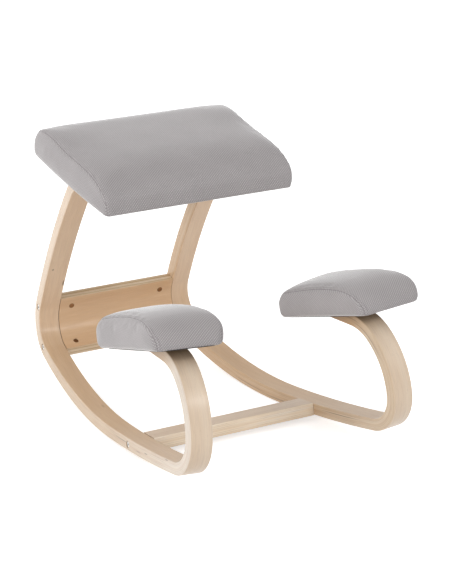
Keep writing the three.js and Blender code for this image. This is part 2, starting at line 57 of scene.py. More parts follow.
# %% [markdown]
# ## The camera
# A camera could be placed by eye, but a photograph's own viewpoint can be worked out: straight
# members of known length fix the distance, the angles and the lens. This one stands nearly four
# metres away on the chair's left front, so the lens is long and the perspective is gentle.

# %% Camera
CAMERA_PLACE = (-1.847, -3.2257, 1.5164)
CAMERA_AZIMUTH = math.radians(-30.51)
CAMERA_DOWN = math.radians(18.89)
CAMERA_ROLL = math.radians(0.19)
CAMERA_LENS = 132.8

camera_data = bpy.data.cameras.new("photo_camera")
camera_data.lens = CAMERA_LENS
camera = bpy.data.objects.new("photo_camera", camera_data)
bpy.context.scene.collection.objects.link(camera)
camera.matrix_world = (
    Matrix.Translation(CAMERA_PLACE)
    @ Matrix.Rotation(CAMERA_AZIMUTH, 4, "Z")
    @ Matrix.Rotation(math.pi / 2 - CAMERA_DOWN, 4, "X")
    @ Matrix.Rotation(CAMERA_ROLL, 4, "Z")
)
bpy.context.scene.camera = camera
bpy.context.scene.view_settings.view_transform = "Standard"
print("camera at", [round(value, 3) for value in camera.location])

# %% [markdown]
# ## Material tools
# Colours are written as the hex values that a colour picker shows, and the renderer wants linear
# light, so one function converts them. A second one adds a shader node with its settings and its
# links in one call and gives its output, which keeps each material short enough to read.

# %% Colour and node helpers
MM = 0.001
COLOUR_MIX = dict(output=2, data_type="RGBA")
MULTIPLIED = dict(COLOUR_MIX, blend_type="MULTIPLY")
NOISE_RANGE = (0.3, 0.7)  # where most of a noise's values lie
RAMP_PLACES = (0.25, 0.5, 0.75)


def linear(code):
    """A linear RGBA colour from an sRGB hex code."""
    channels = [int(code[i : i + 2], 16) / 255 for i in (0, 2, 4)]
    curve = [c / 12.92 if c <= 0.04045 else ((c + 0.055) / 1.055) ** 2.4 for c in channels]
    return (*curve, 1.0)


def add_node(owner, kind, inputs=(), output=0, stops=(), **settings):
    """Adds a node to a material or a world, and gives one of its outputs.

    Inputs are a list in the node's own order, or a dict by number or name, of values, hex colours
    and sockets to link from. Stops are the places and hex colours of a colour ramp.
    """
    tree = owner.node_tree
    node = tree.nodes.new(f"ShaderNode{kind}")
    for name, value in settings.items():
        setattr(node, name, value)
    for i, (place, code) in enumerate(stops):
        ramp = node.color_ramp.elements
        stop = ramp[i] if i < len(ramp) else ramp.new(place)
        stop.position, stop.color = place, linear(code)
    for key, value in inputs.items() if isinstance(inputs, dict) else enumerate(inputs):
        if isinstance(value, bpy.types.NodeSocket):
            tree.links.new(value, node.inputs[key])
        else:
            node.inputs[key].default_value = linear(value) if isinstance(value, str) else value
    return node.outputs[output]


def start_material(name, **numbers):
    """A new material, its shader with the shader's own numbers set, and add_node for it."""
    material = bpy.data.materials.new(name)
    material.use_nodes = True
    shader = material.node_tree.nodes["Principled BSDF"]
    for key, value in numbers.items():
        shader.inputs[key.replace("_", " ")].default_value = value
    return material, shader, partial(add_node, material)


def feed(shader, **sockets):
    """Links sockets to a shader's inputs."""
    for key, socket in sockets.items():
        shader.id_data.links.new(socket, shader.inputs[key.replace("_", " ")])


print("mid grey is", round(linear("808080")[0], 3), "in linear light")

# %% [markdown]
# ## Laminated birch
# The ribbons are a stack of thin birch veneers, glued in a curved press and then lacquered. On the
# wide faces the eye sees one calm sheet of pale wood with long fibres. On the narrow sides it sees
# the edges of the veneers as fine bands, with a darker glue line here and there. Each wooden piece
# carries an attribute named grain, in metres: across the piece, along its fibres, and through its
# layers. The pattern is a function of those three, so it follows every bend.

# %% Birch material
# noises: the size of their blobs across the fibres and along them, in millimetres, and the detail
FIBRES = (0.9, 40, 3.0)
PORES = (0.7, 7, 2.0)
FIGURE = (14, 150, 2.0)
CLOUDS = (60, 300, 1.0)
CLOUD_SHARE = 0.45
LAYER_WANDER = (200, 90, 1.0)
GLUE_WEAR = (200, 70, 2.0)
GLUE_LINE = 0.45 * MM  # a real one is thinner, and would not show
INSIDE = 0.98  # of the thickness, so that the outer faces stay within the outer layers
BARE_LAYERS = 0.8  # no glue line shows this many layers from a face
# the joint reach and the joint's brown are for painted shade, where ambient occlusion finds another
# piece close
JOINT_REACH = 2.2 * MM
GLUE_BROWN, JOINT_SHADE_BROWN, KNOT_BROWN = "8A6742", "6B4526", "5A3D26"


def birch_material(name, thickness, plies, face_hex, edge_hex, contrast, marks=(), shade_tones=()):
    """Lacquered birch in glued layers.

    thickness is in metres, contrast says how much the layers differ, marks are the dark spots
    and the tones are colours to multiply by at places along the fibres, which paint shade.
    """
    wood, shader, add = start_material(
        name, Roughness=0.36, Coat_Weight=0.2, Coat_Roughness=0.22, Specular_IOR_Level=0.4
    )
    grain = add("Attribute", output="Vector", attribute_name="grain")
    parts = add("SeparateXYZ", [grain]).node.outputs

    def grain_noise(across, along, detail):
        scale = (1 / (across * MM), 1 / (along * MM), 1 / (across * MM))
        space = add("VectorMath", [grain, scale], operation="MULTIPLY")
        return add("TexNoise", {"Vector": space, "Scale": 1.0, "Detail": detail})

    fibres, figure = grain_noise(*FIBRES), grain_noise(*FIGURE)
    tone = add("Math", [grain_noise(*CLOUDS), CLOUD_SHARE], operation="MULTIPLY")
    tone = add("Math", [figure, 1 - CLOUD_SHARE, tone], operation="MULTIPLY_ADD")
    face = add("ValToRGB", [tone], stops=zip(RAMP_PLACES, face_hex))

    # layers: which one a point is in, wandering a little along the piece, and its own tone
    through = [parts["Z"], INSIDE * plies / thickness, plies / 2]
    layer = add("Math", through, operation="MULTIPLY_ADD")
    wander = add("MapRange", [grain_noise(*LAYER_WANDER), *NOISE_RANGE, -0.16, 0.16])
    layer = add("Math", [layer, wander], operation="ADD")
    number = add("Math", [layer], operation="FLOOR")
    own = add("TexWhiteNoise", {"W": number}, "Value", noise_dimensions="1D")
    kind = add("Math", [figure, 1 - contrast], operation="MULTIPLY")
    kind = add("Math", [own, contrast, kind], operation="MULTIPLY_ADD")
    edge = add("ValToRGB", [kind], stops=zip(RAMP_PLACES, edge_hex))

    # glue lines between them, some darker than others, worn away in places
    line = add("Math", [layer], operation="ROUND")
    away = add("Math", [layer, line], operation="SUBTRACT")
    away = add("Math", [away], operation="ABSOLUTE")
    half_line = GLUE_LINE / thickness * plies / 2
    glue = add("MapRange", [away, half_line * 0.4, half_line * 1.6, 1.0, 0.0])
    some = add("TexWhiteNoise", {"W": line}, "Value", noise_dimensions="1D")
    some = add("Math", [some, 1.2], operation="POWER")
    worn = add("MapRange", [grain_noise(*GLUE_WEAR), 0.35, 0.62])
    depth = add("Math", [parts["Z"]], operation="ABSOLUTE")
    core = thickness / 2 - BARE_LAYERS * thickness / plies
    within = add("Math", [depth, core], operation="LESS_THAN")
    for share in (some, worn, within):
        glue = add("Math", [glue, share], operation="MULTIPLY")
    shown = add("Math", [glue, 0.5 + 0.7 * contrast], operation="MULTIPLY")
    edge = add("Mix", {0: shown, 6: edge, 7: GLUE_BROWN}, **COLOUR_MIX)
    on_edge = add("Attribute", output="Fac", attribute_name="on_edge")
    colour = add("Mix", {0: on_edge, 6: face, 7: edge}, **COLOUR_MIX)

    # the fibres darken and lighten it finely, small pores fleck it, and painted shade darkens it at
    # places along the fibres
    fine = add("MapRange", [fibres, *NOISE_RANGE, 0.93, 1.05])
    warmer = add("Math", [fine, 1.15], operation="POWER")
    shades = [add("CombineColor", [fine, warmer, fine])]
    shades.append(add("MapRange", [grain_noise(*PORES), 0.66, 0.74, 1.0, 0.86]))
    if shade_tones:
        start, end = shade_tones[0][0], shade_tones[-1][0]
        where = add("MapRange", [parts["Y"], start, end])
        stops = [((at - start) / (end - start), code) for at, code in shade_tones]
        shades.append(add("ValToRGB", [where], stops=stops))
    for shade in shades:
        colour = add("Mix", {0: 1.0, 6: colour, 7: shade}, **MULTIPLIED)

    # painted shade in the joints and counterbores, where another piece stands close: ambient
    # occlusion darkens the colour there
    clear = add("AmbientOcclusion", {"Distance": JOINT_REACH}, "AO", samples=8)
    painted_joint_shade = add("MapRange", [clear, 0.35, 0.62, 0.65, 0.0])
    colour = add("Mix", {0: painted_joint_shade, 6: colour, 7: JOINT_SHADE_BROWN}, **COLOUR_MIX)
    # pin knots and checks, each at its own place on the piece
    for place, half_size, strength in marks:
        offset = add("VectorMath", [grain, Vector(place) * MM], operation="SUBTRACT")
        inverse = [1 / (size * MM) for size in half_size]
        offset = add("VectorMath", [offset, inverse], operation="MULTIPLY")
        reach = add("VectorMath", [offset], "Value", operation="LENGTH")
        share = add("MapRange", [reach, 0.5, 1.0, strength, 0.0])
        colour = add("Mix", {0: share, 6: colour, 7: KNOT_BROWN}, **COLOUR_MIX)

    gloss = add("MapRange", [fibres, *NOISE_RANGE, 0.42, 0.32])
    relief = add("Math", [fibres, glue], operation="SUBTRACT")
    bump = add("Bump", {"Height": relief, "Strength": 0.12, "Distance": 0.4 * MM})
    feed(shader, Base_Color=colour, Roughness=gloss, Normal=bump)
    return wood


print("fibres are drawn", FIBRES[0], "mm wide, and glue lines", GLUE_LINE / MM, "mm")

# %% [markdown]
# ## The ribbon's path
# The centre line of a ribbon is a chain of arcs, and a chain of arcs is the natural thing to spin:
# a section turns about the first centre, then about the next, and so on. The chain is written once,
# from the point that rests on the floor forwards and backwards, in its own upright plane.

# %% Sizes of the wooden parts
RIBBON_WIDTH = 41 * MM
RIBBON_THICKNESS = 23 * MM
RIBBON_EASE = 2 * MM
RIBBON_PLIES = 9
SPLAY = math.radians(4.6)
LEAN = math.radians(2.9)
RUNNER_SPACING = 360 * MM
SEAT_TILT = math.radians(13.9)
KNEE_TILT = math.radians(12.5)
FIT_GAP = 0.3 * MM  # between pieces that touch on the real chair

# each arc's radius in millimetres and its turn in degrees, from the point of rest to the front:
# runner, tight bend, leg and knee bend, and to the rear: runner, tight bend, upright and seat bend
FRONT_ARCS = [(2480, 6.6), (64, 87.2), (141, 45.6), (91, 37.6)]
REAR_ARCS = [(770, 24.3), (67.6, 92.4), (1240, 13.8)]
REAR_ARCS.append((70, 180 + math.degrees(SEAT_TILT) - sum(turn for _, turn in REAR_ARCS)))
KNEE_END = 90 * MM
SEAT_END = 95 * MM
# the packed runner is a row of flats, and the chair rests on the middle of the second one
RUNNER_FLATS, REST_FLATS = 8, 1.5
REST_TILT = math.radians(REAR_ARCS[0][1] / RUNNER_FLATS * REST_FLATS)
print("the ribbons are", RIBBON_WIDTH / MM, "mm wide and", RIBBON_THICKNESS / MM, "mm thick")

# %% The path as a chain of arcs
def heading_vector(way, heading):
    """Along the ribbon, away from the point of rest, in the ribbon's own plane."""
    return Vector((0, way * math.cos(heading), math.sin(heading)))


def outward_vector(way, heading):
    """Through the ribbon, to the outside of its bends."""
    return Vector((0, way * math.sin(heading), -math.cos(heading)))


def lay_out(way, arcs, end_length):
    """The stretches of one walk: way is -1 forwards from the point of rest and 1 backwards."""
    place, heading, along = Vector((0, 0, RIBBON_THICKNESS / 2)), 0.0, 0.0
    stretches = []
    for radius, turn in [(r * MM, math.radians(t)) for r, t in arcs]:
        centre = place - outward_vector(way, heading) * radius
        arc = dict(centre=centre, radius=radius, turn=turn, length=radius * turn)
        stretches.append(dict(way=way, start=place, heading=heading, along=along, **arc))
        heading += turn
        along += radius * turn
        place = centre + outward_vector(way, heading) * radius
    straight = dict(radius=0, turn=0, length=end_length)
    stretches.append(dict(way=way, start=place, heading=heading, along=along, **straight))
    return [SimpleNamespace(**stretch) for stretch in stretches]


front_walk = lay_out(-1, FRONT_ARCS, KNEE_END)
rear_walk = lay_out(1, REAR_ARCS, SEAT_END)


def station(walk, distance):
    """The centre line's point and the two directions in its plane, a distance along a walk."""
    stretch = [s for s in walk if s.along <= distance + 1e-9][-1]
    way, step = stretch.way, distance - stretch.along
    if stretch.radius:
        heading = stretch.heading + step / stretch.radius
        point = stretch.centre + outward_vector(way, heading) * stretch.radius
    else:
        heading = stretch.heading
        point = stretch.start + heading_vector(way, heading) * step
    return point, heading_vector(way, heading), outward_vector(way, heading), heading


def unbend(point):
    """How far a point of the ribbon's plane lies along the ribbon and out of its centre line."""
    best = None
    for stretch in front_walk + rear_walk:
        way = stretch.way
        if stretch.radius:
            arm = point - stretch.centre
            arm.x = 0
            turned = math.atan2(way * arm.y, -arm.z) - stretch.heading
            turned = (turned + math.pi) % math.tau - math.pi
            out = arm.length - stretch.radius
            step = turned * stretch.radius
        else:
            arm = point - stretch.start
            arm.x = 0
            step = arm.dot(heading_vector(way, stretch.heading))
            out = arm.dot(outward_vector(way, stretch.heading))
        beyond = max(-step, step - stretch.length, 0)
        score = beyond + max(abs(out) - RIBBON_THICKNESS / 2, 0)
        if best is None or score < best[0]:
            best = (score, way * (stretch.along + step), out)
    return best[1], best[2]


def walk_length(walk):
    """How long a walk is along the centre line."""
    return walk[-1].along + walk[-1].length


print("one ribbon is", round(walk_length(front_walk) + walk_length(rear_walk), 3), "m long")

# %% [markdown]
# ## Spinning the ribbon
# A rounded rectangle stands at the point of rest. One chain of spins carries it back to the seat
# and another carries it forward to the knee rest, and both share the first ring, so the ribbon is
# one skin.

# %% Rings and sweeps
SPIN_STEP = math.radians(2.5)
LONGEST_STEP = 30 * MM


def rounded_section(width, thickness, ease, segments=3):
    """A bmesh that holds a rectangle with round corners, in X and Z about the origin."""
    bm = bmesh.new()
    bmesh.ops.create_grid(bm, x_segments=1, y_segments=1, size=0.5)
    bmesh.ops.scale(bm, vec=(width, thickness, 1), verts=bm.verts)
    bmesh.ops.rotate(bm, matrix=Matrix.Rotation(math.pi / 2, 3, "X"), verts=bm.verts)
    bmesh.ops.bevel(
        bm, geom=bm.verts[:], offset=ease, segments=segments, affect="VERTICES", profile=0.5,
        material=-1,
    )
    bmesh.ops.delete(bm, geom=bm.faces[:], context="FACES_ONLY")
    return bm


def spin_ring(bm, ring, centre, turn, steps):
    """Turns a ring about an axis along X, and gives the ring where it stops."""
    return bmesh.ops.spin(
        bm, geom=ring, cent=centre, axis=(1, 0, 0), dvec=(0, 0, 0), angle=turn, steps=steps,
        use_merge=False, use_duplicate=False,
    )["geom_last"]


def push_ring(bm, ring, step):
    """Extrudes a ring by a step, and gives the ring where it stops."""
    edges = [g for g in ring if isinstance(g, bmesh.types.BMEdge)]
    made = bmesh.ops.extrude_edge_only(bm, edges=edges)["geom"]
    verts = [g for g in made if isinstance(g, bmesh.types.BMVert)]
    bmesh.ops.translate(bm, vec=step, verts=verts)
    return [g for g in made if not isinstance(g, bmesh.types.BMFace)]


def sweep(bm, ring, walk):
    """Carries a ring along a walk's arcs and its straight end."""
    for stretch in walk:
        way, turn, length = stretch.way, stretch.turn, stretch.length
        if stretch.radius:
            steps = math.ceil(max(turn / SPIN_STEP, length / LONGEST_STEP))
            ring = spin_ring(bm, ring, stretch.centre, way * turn, steps)
        else:
            ring = push_ring(bm, ring, heading_vector(way, stretch.heading) * length)


def close_ends(bm):
    """Fills a shape's open ends."""
    bmesh.ops.holes_fill(bm, edges=[e for e in bm.edges if e.is_boundary], sides=0)
    bmesh.ops.recalc_face_normals(bm, faces=bm.faces)


def ribbon_bmesh():
    """One bare ribbon in its own plane."""
    bm = rounded_section(RIBBON_WIDTH, RIBBON_THICKNESS, RIBBON_EASE)
    bmesh.ops.translate(bm, vec=front_walk[0].start, verts=bm.verts)
    ring = bm.verts[:] + bm.edges[:]
    sweep(bm, ring, rear_walk)
    sweep(bm, ring, front_walk)
    close_ends(bm)
    return bm


bare = ribbon_bmesh()
bare_points = [vertex.co.copy() for vertex in bare.verts]
bare.free()
depths = [point.y for point in bare_points]
print("ribbon spans", round(max(depths) - min(depths), 4), "m in its plane")

# %% Making pieces
CREASE = 40  # degrees
SMALL_CREASE = 30  # on bolts and nuts
TURNED_SIDES = 40


def piece_from(name, bm):
    """A linked object with the bmesh's shape."""
    mesh = bpy.data.meshes.new(name)
    bm.to_mesh(mesh)
    bm.free()
    piece = bpy.data.objects.new(name, mesh)
    bpy.context.scene.collection.objects.link(piece)
    return piece


def add_modifier(piece, kind, **settings):
    modifier = piece.modifiers.new(kind.lower(), kind)
    for name, value in settings.items():
        setattr(modifier, name, value)
    return modifier


def keep_evaluated(piece):
    """Makes a piece's modifiers part of its mesh."""
    bpy.context.view_layer.update()
    depsgraph = bpy.context.evaluated_depsgraph_get()
    mesh = bpy.data.meshes.new_from_object(piece.evaluated_get(depsgraph))
    piece.modifiers.clear()
    piece.data, old = mesh, piece.data
    bpy.data.meshes.remove(old)


def carve(piece, cutter_bm):
    """Cuts a bmesh out of a piece."""
    cutter = piece_from("cutter", cutter_bm)
    add_modifier(piece, "BOOLEAN", operation="DIFFERENCE", solver="EXACT", object=cutter)
    keep_evaluated(piece)
    bpy.data.meshes.remove(cutter.data)


def lathe(profile):
    """A closed shape turned about Z, from (radius, height) points between its two poles."""
    bm = bmesh.new()
    points = [bm.verts.new((radius, 0, height)) for radius, height in profile]
    edges = [bm.edges.new(pair) for pair in zip(points, points[1:])]
    bmesh.ops.spin(
        bm, geom=points + edges, cent=(0, 0, 0), axis=(0, 0, 1), dvec=(0, 0, 0), angle=math.tau,
        steps=TURNED_SIDES, use_merge=True, use_duplicate=False,
    )
    bmesh.ops.remove_doubles(bm, verts=bm.verts, dist=1e-6)
    bmesh.ops.recalc_face_normals(bm, faces=bm.faces)
    return bm


def merge_into(target, source, matrix):
    """Adds one bmesh to another, in a new place."""
    bmesh.ops.transform(source, matrix=matrix, verts=source.verts)
    scratch = bpy.data.meshes.new("scratch")
    source.to_mesh(scratch)
    source.free()
    target.from_mesh(scratch)
    bpy.data.meshes.remove(scratch)


def dress(piece, matrix, material, node, crease=CREASE):
    """Places a piece, smooths its shading, gives it a material and hides the node it replaces."""
    piece.data.transform(matrix)
    piece.data.shade_smooth()
    piece.data.set_sharp_from_angle(angle=math.radians(crease))
    add_modifier(piece, "WEIGHTED_NORMAL", keep_sharp=True)
    piece.data.materials.append(material)
    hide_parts(node)
    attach(piece, "root")
    print(piece.name, len(piece.data.vertices), "vertices")


print("round shapes have", TURNED_SIDES, "sides")

# %% [markdown]
# ## From a ribbon's plane to the chair
# Each ribbon stands in its own plane, which splays outwards to the front and leans in at the top.
# The whole chair then rocks back until its weight is over its point of rest. The last small shift
# is read off the frame: the ribbon's box has to lie where the packed side frame lies.

# %% Placing matrices
def side_matrix(side):
    """From a ribbon's plane to the unrocked chair, for side -1 (left) or 1 (right)."""
    return (
        Matrix.Translation((side * RUNNER_SPACING / 2, 0, 0))
        @ Matrix.Rotation(side * SPLAY, 4, "Z")
        @ Matrix.Rotation(-side * LEAN, 4, "Y")
    )


def mesh_box(vertices):
    """The lowest and highest corner of some points."""
    low = Vector([min(v[i] for v in vertices) for i in range(3)])
    high = Vector([max(v[i] for v in vertices) for i in range(3)])
    return low, high


rocked = Matrix.Rotation(-REST_TILT, 4, "X")
low, high = mesh_box([rocked @ side_matrix(1) @ point for point in bare_points])
cad_low, cad_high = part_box("right_side_frame")
shift = (Vector(cad_low) + Vector(cad_high)) / 2 - (low + high) / 2
shift.x = 0
chair_matrix = Matrix.Translation(shift) @ rocked
print("chair shifted by", [round(value / MM, 2) for value in shift], "mm")

# %% [markdown]
# ## Bolts and their holes
# Six bolts run through the ribbons' outer faces into the rear panel and the crossbar, where each
# one catches a barrel nut. Eight more come up from below into the boards. Their holes are turned
# shapes, carved out with a boolean, because a round counterbore in a bent ribbon is hard to model
# any other way.

# %% Bolt sizes and places
BOLT = 6 * MM
BOLT_HEAD = 12 * MM
BOLT_HEAD_HEIGHT = 5 * MM
BOLT_SINK = 1.2 * MM
BOLT_CLEARANCE = 0.4 * MM
BARREL_NUT = 10 * MM
BARREL_NUT_SINK = 1.5 * MM
BARREL_NUT_FROM_END = 26 * MM
PANEL_THICKNESS = 18 * MM
PANEL_BELOW_BEND = 8 * MM
PANEL_ABOVE_BEND = 14 * MM
PANEL_BOLT_SHARE = 0.17
CROSSBAR_DEPTH = 46 * MM
CROSSBAR_THICKNESS = 25 * MM
CROSSBAR_FROM_REST = 88 * MM

bend = rear_walk[1]
PANEL_FROM = bend.along - PANEL_BELOW_BEND
PANEL_TO = bend.along + bend.length + PANEL_ABOVE_BEND
PANEL_BOLT_INSET = (PANEL_TO - PANEL_FROM) * PANEL_BOLT_SHARE
PANEL_HALF = PANEL_THICKNESS / 2
PANEL_MIDDLE = PANEL_HALF - RIBBON_THICKNESS / 2

# name, walk, distance along it, offset outwards, and half the thickness of what the nut sits in
CROSS_BOLTS = [
    ("rear_panel_upper", rear_walk, PANEL_TO - PANEL_BOLT_INSET, PANEL_MIDDLE, PANEL_HALF),
    ("rear_panel_lower", rear_walk, PANEL_FROM + PANEL_BOLT_INSET, PANEL_MIDDLE, PANEL_HALF),
    ("crossbar", front_walk, CROSSBAR_FROM_REST, 0, CROSSBAR_THICKNESS / 2),
]
HEAD_TOP = RIBBON_WIDTH / 2 - BOLT_SINK
NUT_PLACE = -RIBBON_WIDTH / 2 - FIT_GAP - BARREL_NUT_FROM_END
print("each ribbon has", len(CROSS_BOLTS), "cross bolts")

# %% Where bolts, nuts and boards lie
def cross_matrix(walk, distance, out, inward=1):
    """Stands Z on a station's hollow side, with X across the ribbon."""
    point, _, outward, _ = station(walk, distance)
    x_axis, z_axis = Vector((1, 0, 0)), -outward * inward
    turned = Matrix((x_axis, z_axis.cross(x_axis), z_axis)).transposed().to_4x4()
    return Matrix.Translation(point + outward * out) @ turned


def to_x(side):
    """Lays a shape that stands along Z down along X, pointing out of the given side."""
    return Matrix.Rotation(side * math.pi / 2, 4, "Y")


def top_plane(walk, distance, tilt):
    """The plane of a ribbon's upper face at a station, for a board to lie on."""
    point, _, outward, _ = station(walk, distance)
    middle = point + outward * RIBBON_THICKNESS / 2
    return Matrix.Translation(middle) @ Matrix.Rotation(tilt, 4, "X")


# the planes of the knee rests, in a ribbon's plane, and of the seat, in the chair
knee_plane = top_plane(front_walk, front_walk[-1].along, -KNEE_TILT)
seat_plane_side = top_plane(rear_walk, walk_length(rear_walk), SEAT_TILT)
SEAT_PLANING = RIBBON_WIDTH / 2 * math.sin(LEAN)
seat_tip = side_matrix(1) @ seat_plane_side.translation
seat_plane = (
    Matrix.Translation((0, seat_tip.y, seat_tip.z))
    @ Matrix.Rotation(SEAT_TILT, 4, "X")
    @ Matrix.Translation((0, 0, -SEAT_PLANING))
)
SEAT_BOLT_SHARES = {"seat_front": 0.25, "seat_rear": 0.8}
SEAT_HEAD_DEPTH = RIBBON_THICKNESS - BOLT_SINK - BOLT_HEAD_HEIGHT
KNEE_BOLTS = {"knee_front": (14 * MM, 11 * MM), "knee_rear": (46 * MM, 7.5 * MM)}
HEAD_DOWN = Matrix.Rotation(math.pi, 4, "X")


def board_bolts(side):
    """The bolts under the boards of one side: name, matrix in its plane, and the head's top."""
    bolts = []
    here = side_matrix(side).inverted() @ seat_plane
    for name, share in SEAT_BOLT_SHARES.items():
        place = here.inverted() @ seat_plane_side @ Vector((0, share * SEAT_END, 0))
        matrix = here @ Matrix.Translation((place.x, place.y, 0)) @ HEAD_DOWN
        bolts.append((name, matrix, SEAT_HEAD_DEPTH + BOLT_HEAD_HEIGHT))
    for name, (place, depth) in KNEE_BOLTS.items():
        matrix = knee_plane @ Matrix.Translation((0, place, 0)) @ HEAD_DOWN
        bolts.append((name, matrix, depth + BOLT_HEAD_HEIGHT))
    return bolts


def nut_matrix(side, name, walk, distance, out):
    """The place of a barrel nut on the unrocked chair, with its slot where the hand reaches it."""
    inward = -1 if name == "crossbar" else 1
    matrix = side_matrix(side) @ cross_matrix(walk, distance, out, inward)
    return matrix @ Matrix.Translation((side * NUT_PLACE, 0, 0))


def hole_bmesh(head_top):
    """The space of a sunk bolt: a counterbore that opens upwards over a narrower shank hole."""
    wide, narrow = BOLT_HEAD / 2 + BOLT_CLEARANCE, BOLT / 2 + BOLT_CLEARANCE
    seat = head_top - BOLT_HEAD_HEIGHT - BOLT_CLEARANCE
    top, bottom = head_top + RIBBON_THICKNESS, -3 * RIBBON_WIDTH
    shank = [(0, bottom), (narrow, bottom), (narrow, seat)]
    return lathe([*shank, (wide, seat), (wide, top), (0, top)])


print("and", len(board_bolts(1)), "bolts that come up into its boards")

# %% [markdown]
# ## The side frames
# The finished ribbon gets its planed ends and its holes, and then each of its points is told where
# it lies along the wood. That is done last, by unbending the path, because a boolean makes new
# points that never went through a spin. On a pale wood the few pin knots and short checks are what
# the eye holds on to, so the ones that the photograph shows are placed one by one.

# %% Side frames
EDGE_BAND = 0.6 * RIBBON_EASE
PLANE_DEPTH = 40 * MM
PLANE_LENGTH = 500 * MM
RIBBON_CONTRAST = 0.22
FACE_BIRCH = ["E6CDB4", "EDD7C2", "F2DFCC"]
# the colours of the edges, greyer on the left ribbon than on the right, and the marks: each one's
# place and half sizes across, along and out, in millimetres, and its strength
RIBBON_LOOKS = {
    "left": (
        ["E4D2C4", "ECDFD3", "F2E8DF"],
        [
            ((-10.5, 529.7, -11.5), (2.6, 3.2, 3), 0.5),
            ((-20.5, 540, 9.2), (3, 230, 0.9), 0.45),
            ((17.5, 492, -11.5), (2.2, 9, 3), 0.7),
            ((-20.5, -168, -2), (3, 8, 1.1), 0.7),
            ((-20.5, -257, -9.5), (3, 8, 1.2), 0.65),
            ((-20.5, -62, -2.5), (3, 42, 1), 0.6),
            ((-20.5, -135, 2.2), (3, 12, 1), 0.45),
            ((9.6, 99.8, -11.6), (3, 9, 3), 0.25),
        ],
    ),
    "right": (
        ["D6BCA2", "E2CBB2", "EAD8C6"],
        [
            ((-20.5, -500, -2), (3, 60, 1.4), 0.45),
            ((-20.5, -560, 3), (3, 45, 1.6), 0.4),
            ((-20.5, -5, 5.6), (3, 75, 1.3), 0.5),
            ((-20.5, 91, 3), (3, 60, 1.4), 0.45),
            ((-20.5, -190, -3), (3, 60, 1.2), 0.5),
        ],
    ),
}
# painted shade: darker and yellower along the runner, darkest where it ends under the knee rest
RIBBON_SHADE_TONES = [
    (-0.645, "CDB08C"), (-0.55, "D8C2A4"), (-0.5, "F1F0EA"), (-0.3, "F0EEE8"), (0.0, "E0D2BD"),
    (0.3, "E0D2BD"), (0.45, "F0E5D5"), (0.907, "F0E5D5"),
]
SIDES = {"left": -1, "right": 1}


def write_vectors(mesh, name, values):
    """Gives each of a mesh's points a vector of its own."""
    for item, value in zip(mesh.attributes.new(name, "FLOAT_VECTOR", "POINT").data, values):
        item.vector = value


def write_grain(piece, grain_of, half_width, band):
    """Writes the two attributes that the birch material reads."""
    mesh = piece.data
    values = [grain_of(vertex.co) for vertex in mesh.vertices]
    write_vectors(mesh, "grain", values)
    on_edge = mesh.attributes.new("on_edge", "FLOAT", "CORNER")
    for polygon in mesh.polygons:
        across = sum(values[i][0] for i in polygon.vertices) / len(polygon.vertices)
        edge = 1.0 if abs(across) > half_width - band else 0.0
        for corner in polygon.loop_indices:
            on_edge.data[corner].value = edge


def planing_box(width, matrix):
    """A block whose underside is the plane that a board lies on."""
    bm = bmesh.new()
    bmesh.ops.create_cube(bm, size=1.0)
    bmesh.ops.translate(bm, vec=(0, 0, 0.5), verts=bm.verts)
    bmesh.ops.scale(bm, vec=(width, PLANE_LENGTH, PLANE_DEPTH), verts=bm.verts)
    bmesh.ops.transform(bm, matrix=matrix, verts=bm.verts)
    return bm


def ribbon_grain(point):
    along, out = unbend(point)
    return (point.x, along, out)


def make_side_frame(name, side):
    """One ribbon, planed, drilled and dressed."""
    piece = piece_from(f"{name}_bent_frame", ribbon_bmesh())
    to_chair = side_matrix(side)
    carve(piece, planing_box(RIBBON_WIDTH * 2, knee_plane))
    carve(piece, planing_box(RIBBON_WIDTH * 3, to_chair.inverted() @ seat_plane))
    holes = bmesh.new()
    for _, walk, distance, out, _ in CROSS_BOLTS:
        merge_into(holes, hole_bmesh(HEAD_TOP), cross_matrix(walk, distance, out) @ to_x(side))
    for _, matrix, head_top in board_bolts(side):
        merge_into(holes, hole_bmesh(head_top), matrix)
    carve(piece, holes)
    write_grain(piece, ribbon_grain, RIBBON_WIDTH / 2, EDGE_BAND)
    edge_hex, marks = RIBBON_LOOKS[name]
    wood = birch_material(
        f"lacquered birch, {name} ribbon", RIBBON_THICKNESS, RIBBON_PLIES, FACE_BIRCH, edge_hex,
        RIBBON_CONTRAST, marks, RIBBON_SHADE_TONES,
    )
    dress(piece, chair_matrix @ to_chair, wood, f"{name}_side_frame")


for name, side in SIDES.items():
    make_side_frame(name, side)

# %% [markdown]
# ## The rear panel and the crossbar
# Both are plywood and both are trimmed to the ribbons' inner faces, which lean and splay. Instead
# of working out each corner, the strips are made too wide and cut off by the two planes themselves.
# The panel is spun round the same bend as the ribbons, and the crossbar is a straight bar with
# eased edges. The panel's plies show above and below it, so its grain counts "across" along the
# bend.

# %% Rear panel
PANEL_BLANK = 400 * MM
PANEL_EASE = 0.5 * MM
PANEL_EDGE_BAND = 0.6 * MM
PANEL_FACES = ["D4AD86", "D8B48E", "DEBD9A"]
PANEL_EDGES = ["B8946C", "D3B894", "E2CFB4"]
NUT_HOLE_RUN_OUT = 10 * MM


# the middle of the chair sees the ribbons' inner faces at their own height and depth
flattened = side_matrix(1) @ Matrix.Translation((-RIBBON_WIDTH / 2, 0, 0))
flattened[0] = (1, 0, 0, 0)
for row in (1, 2):
    flattened[row][0] = 0


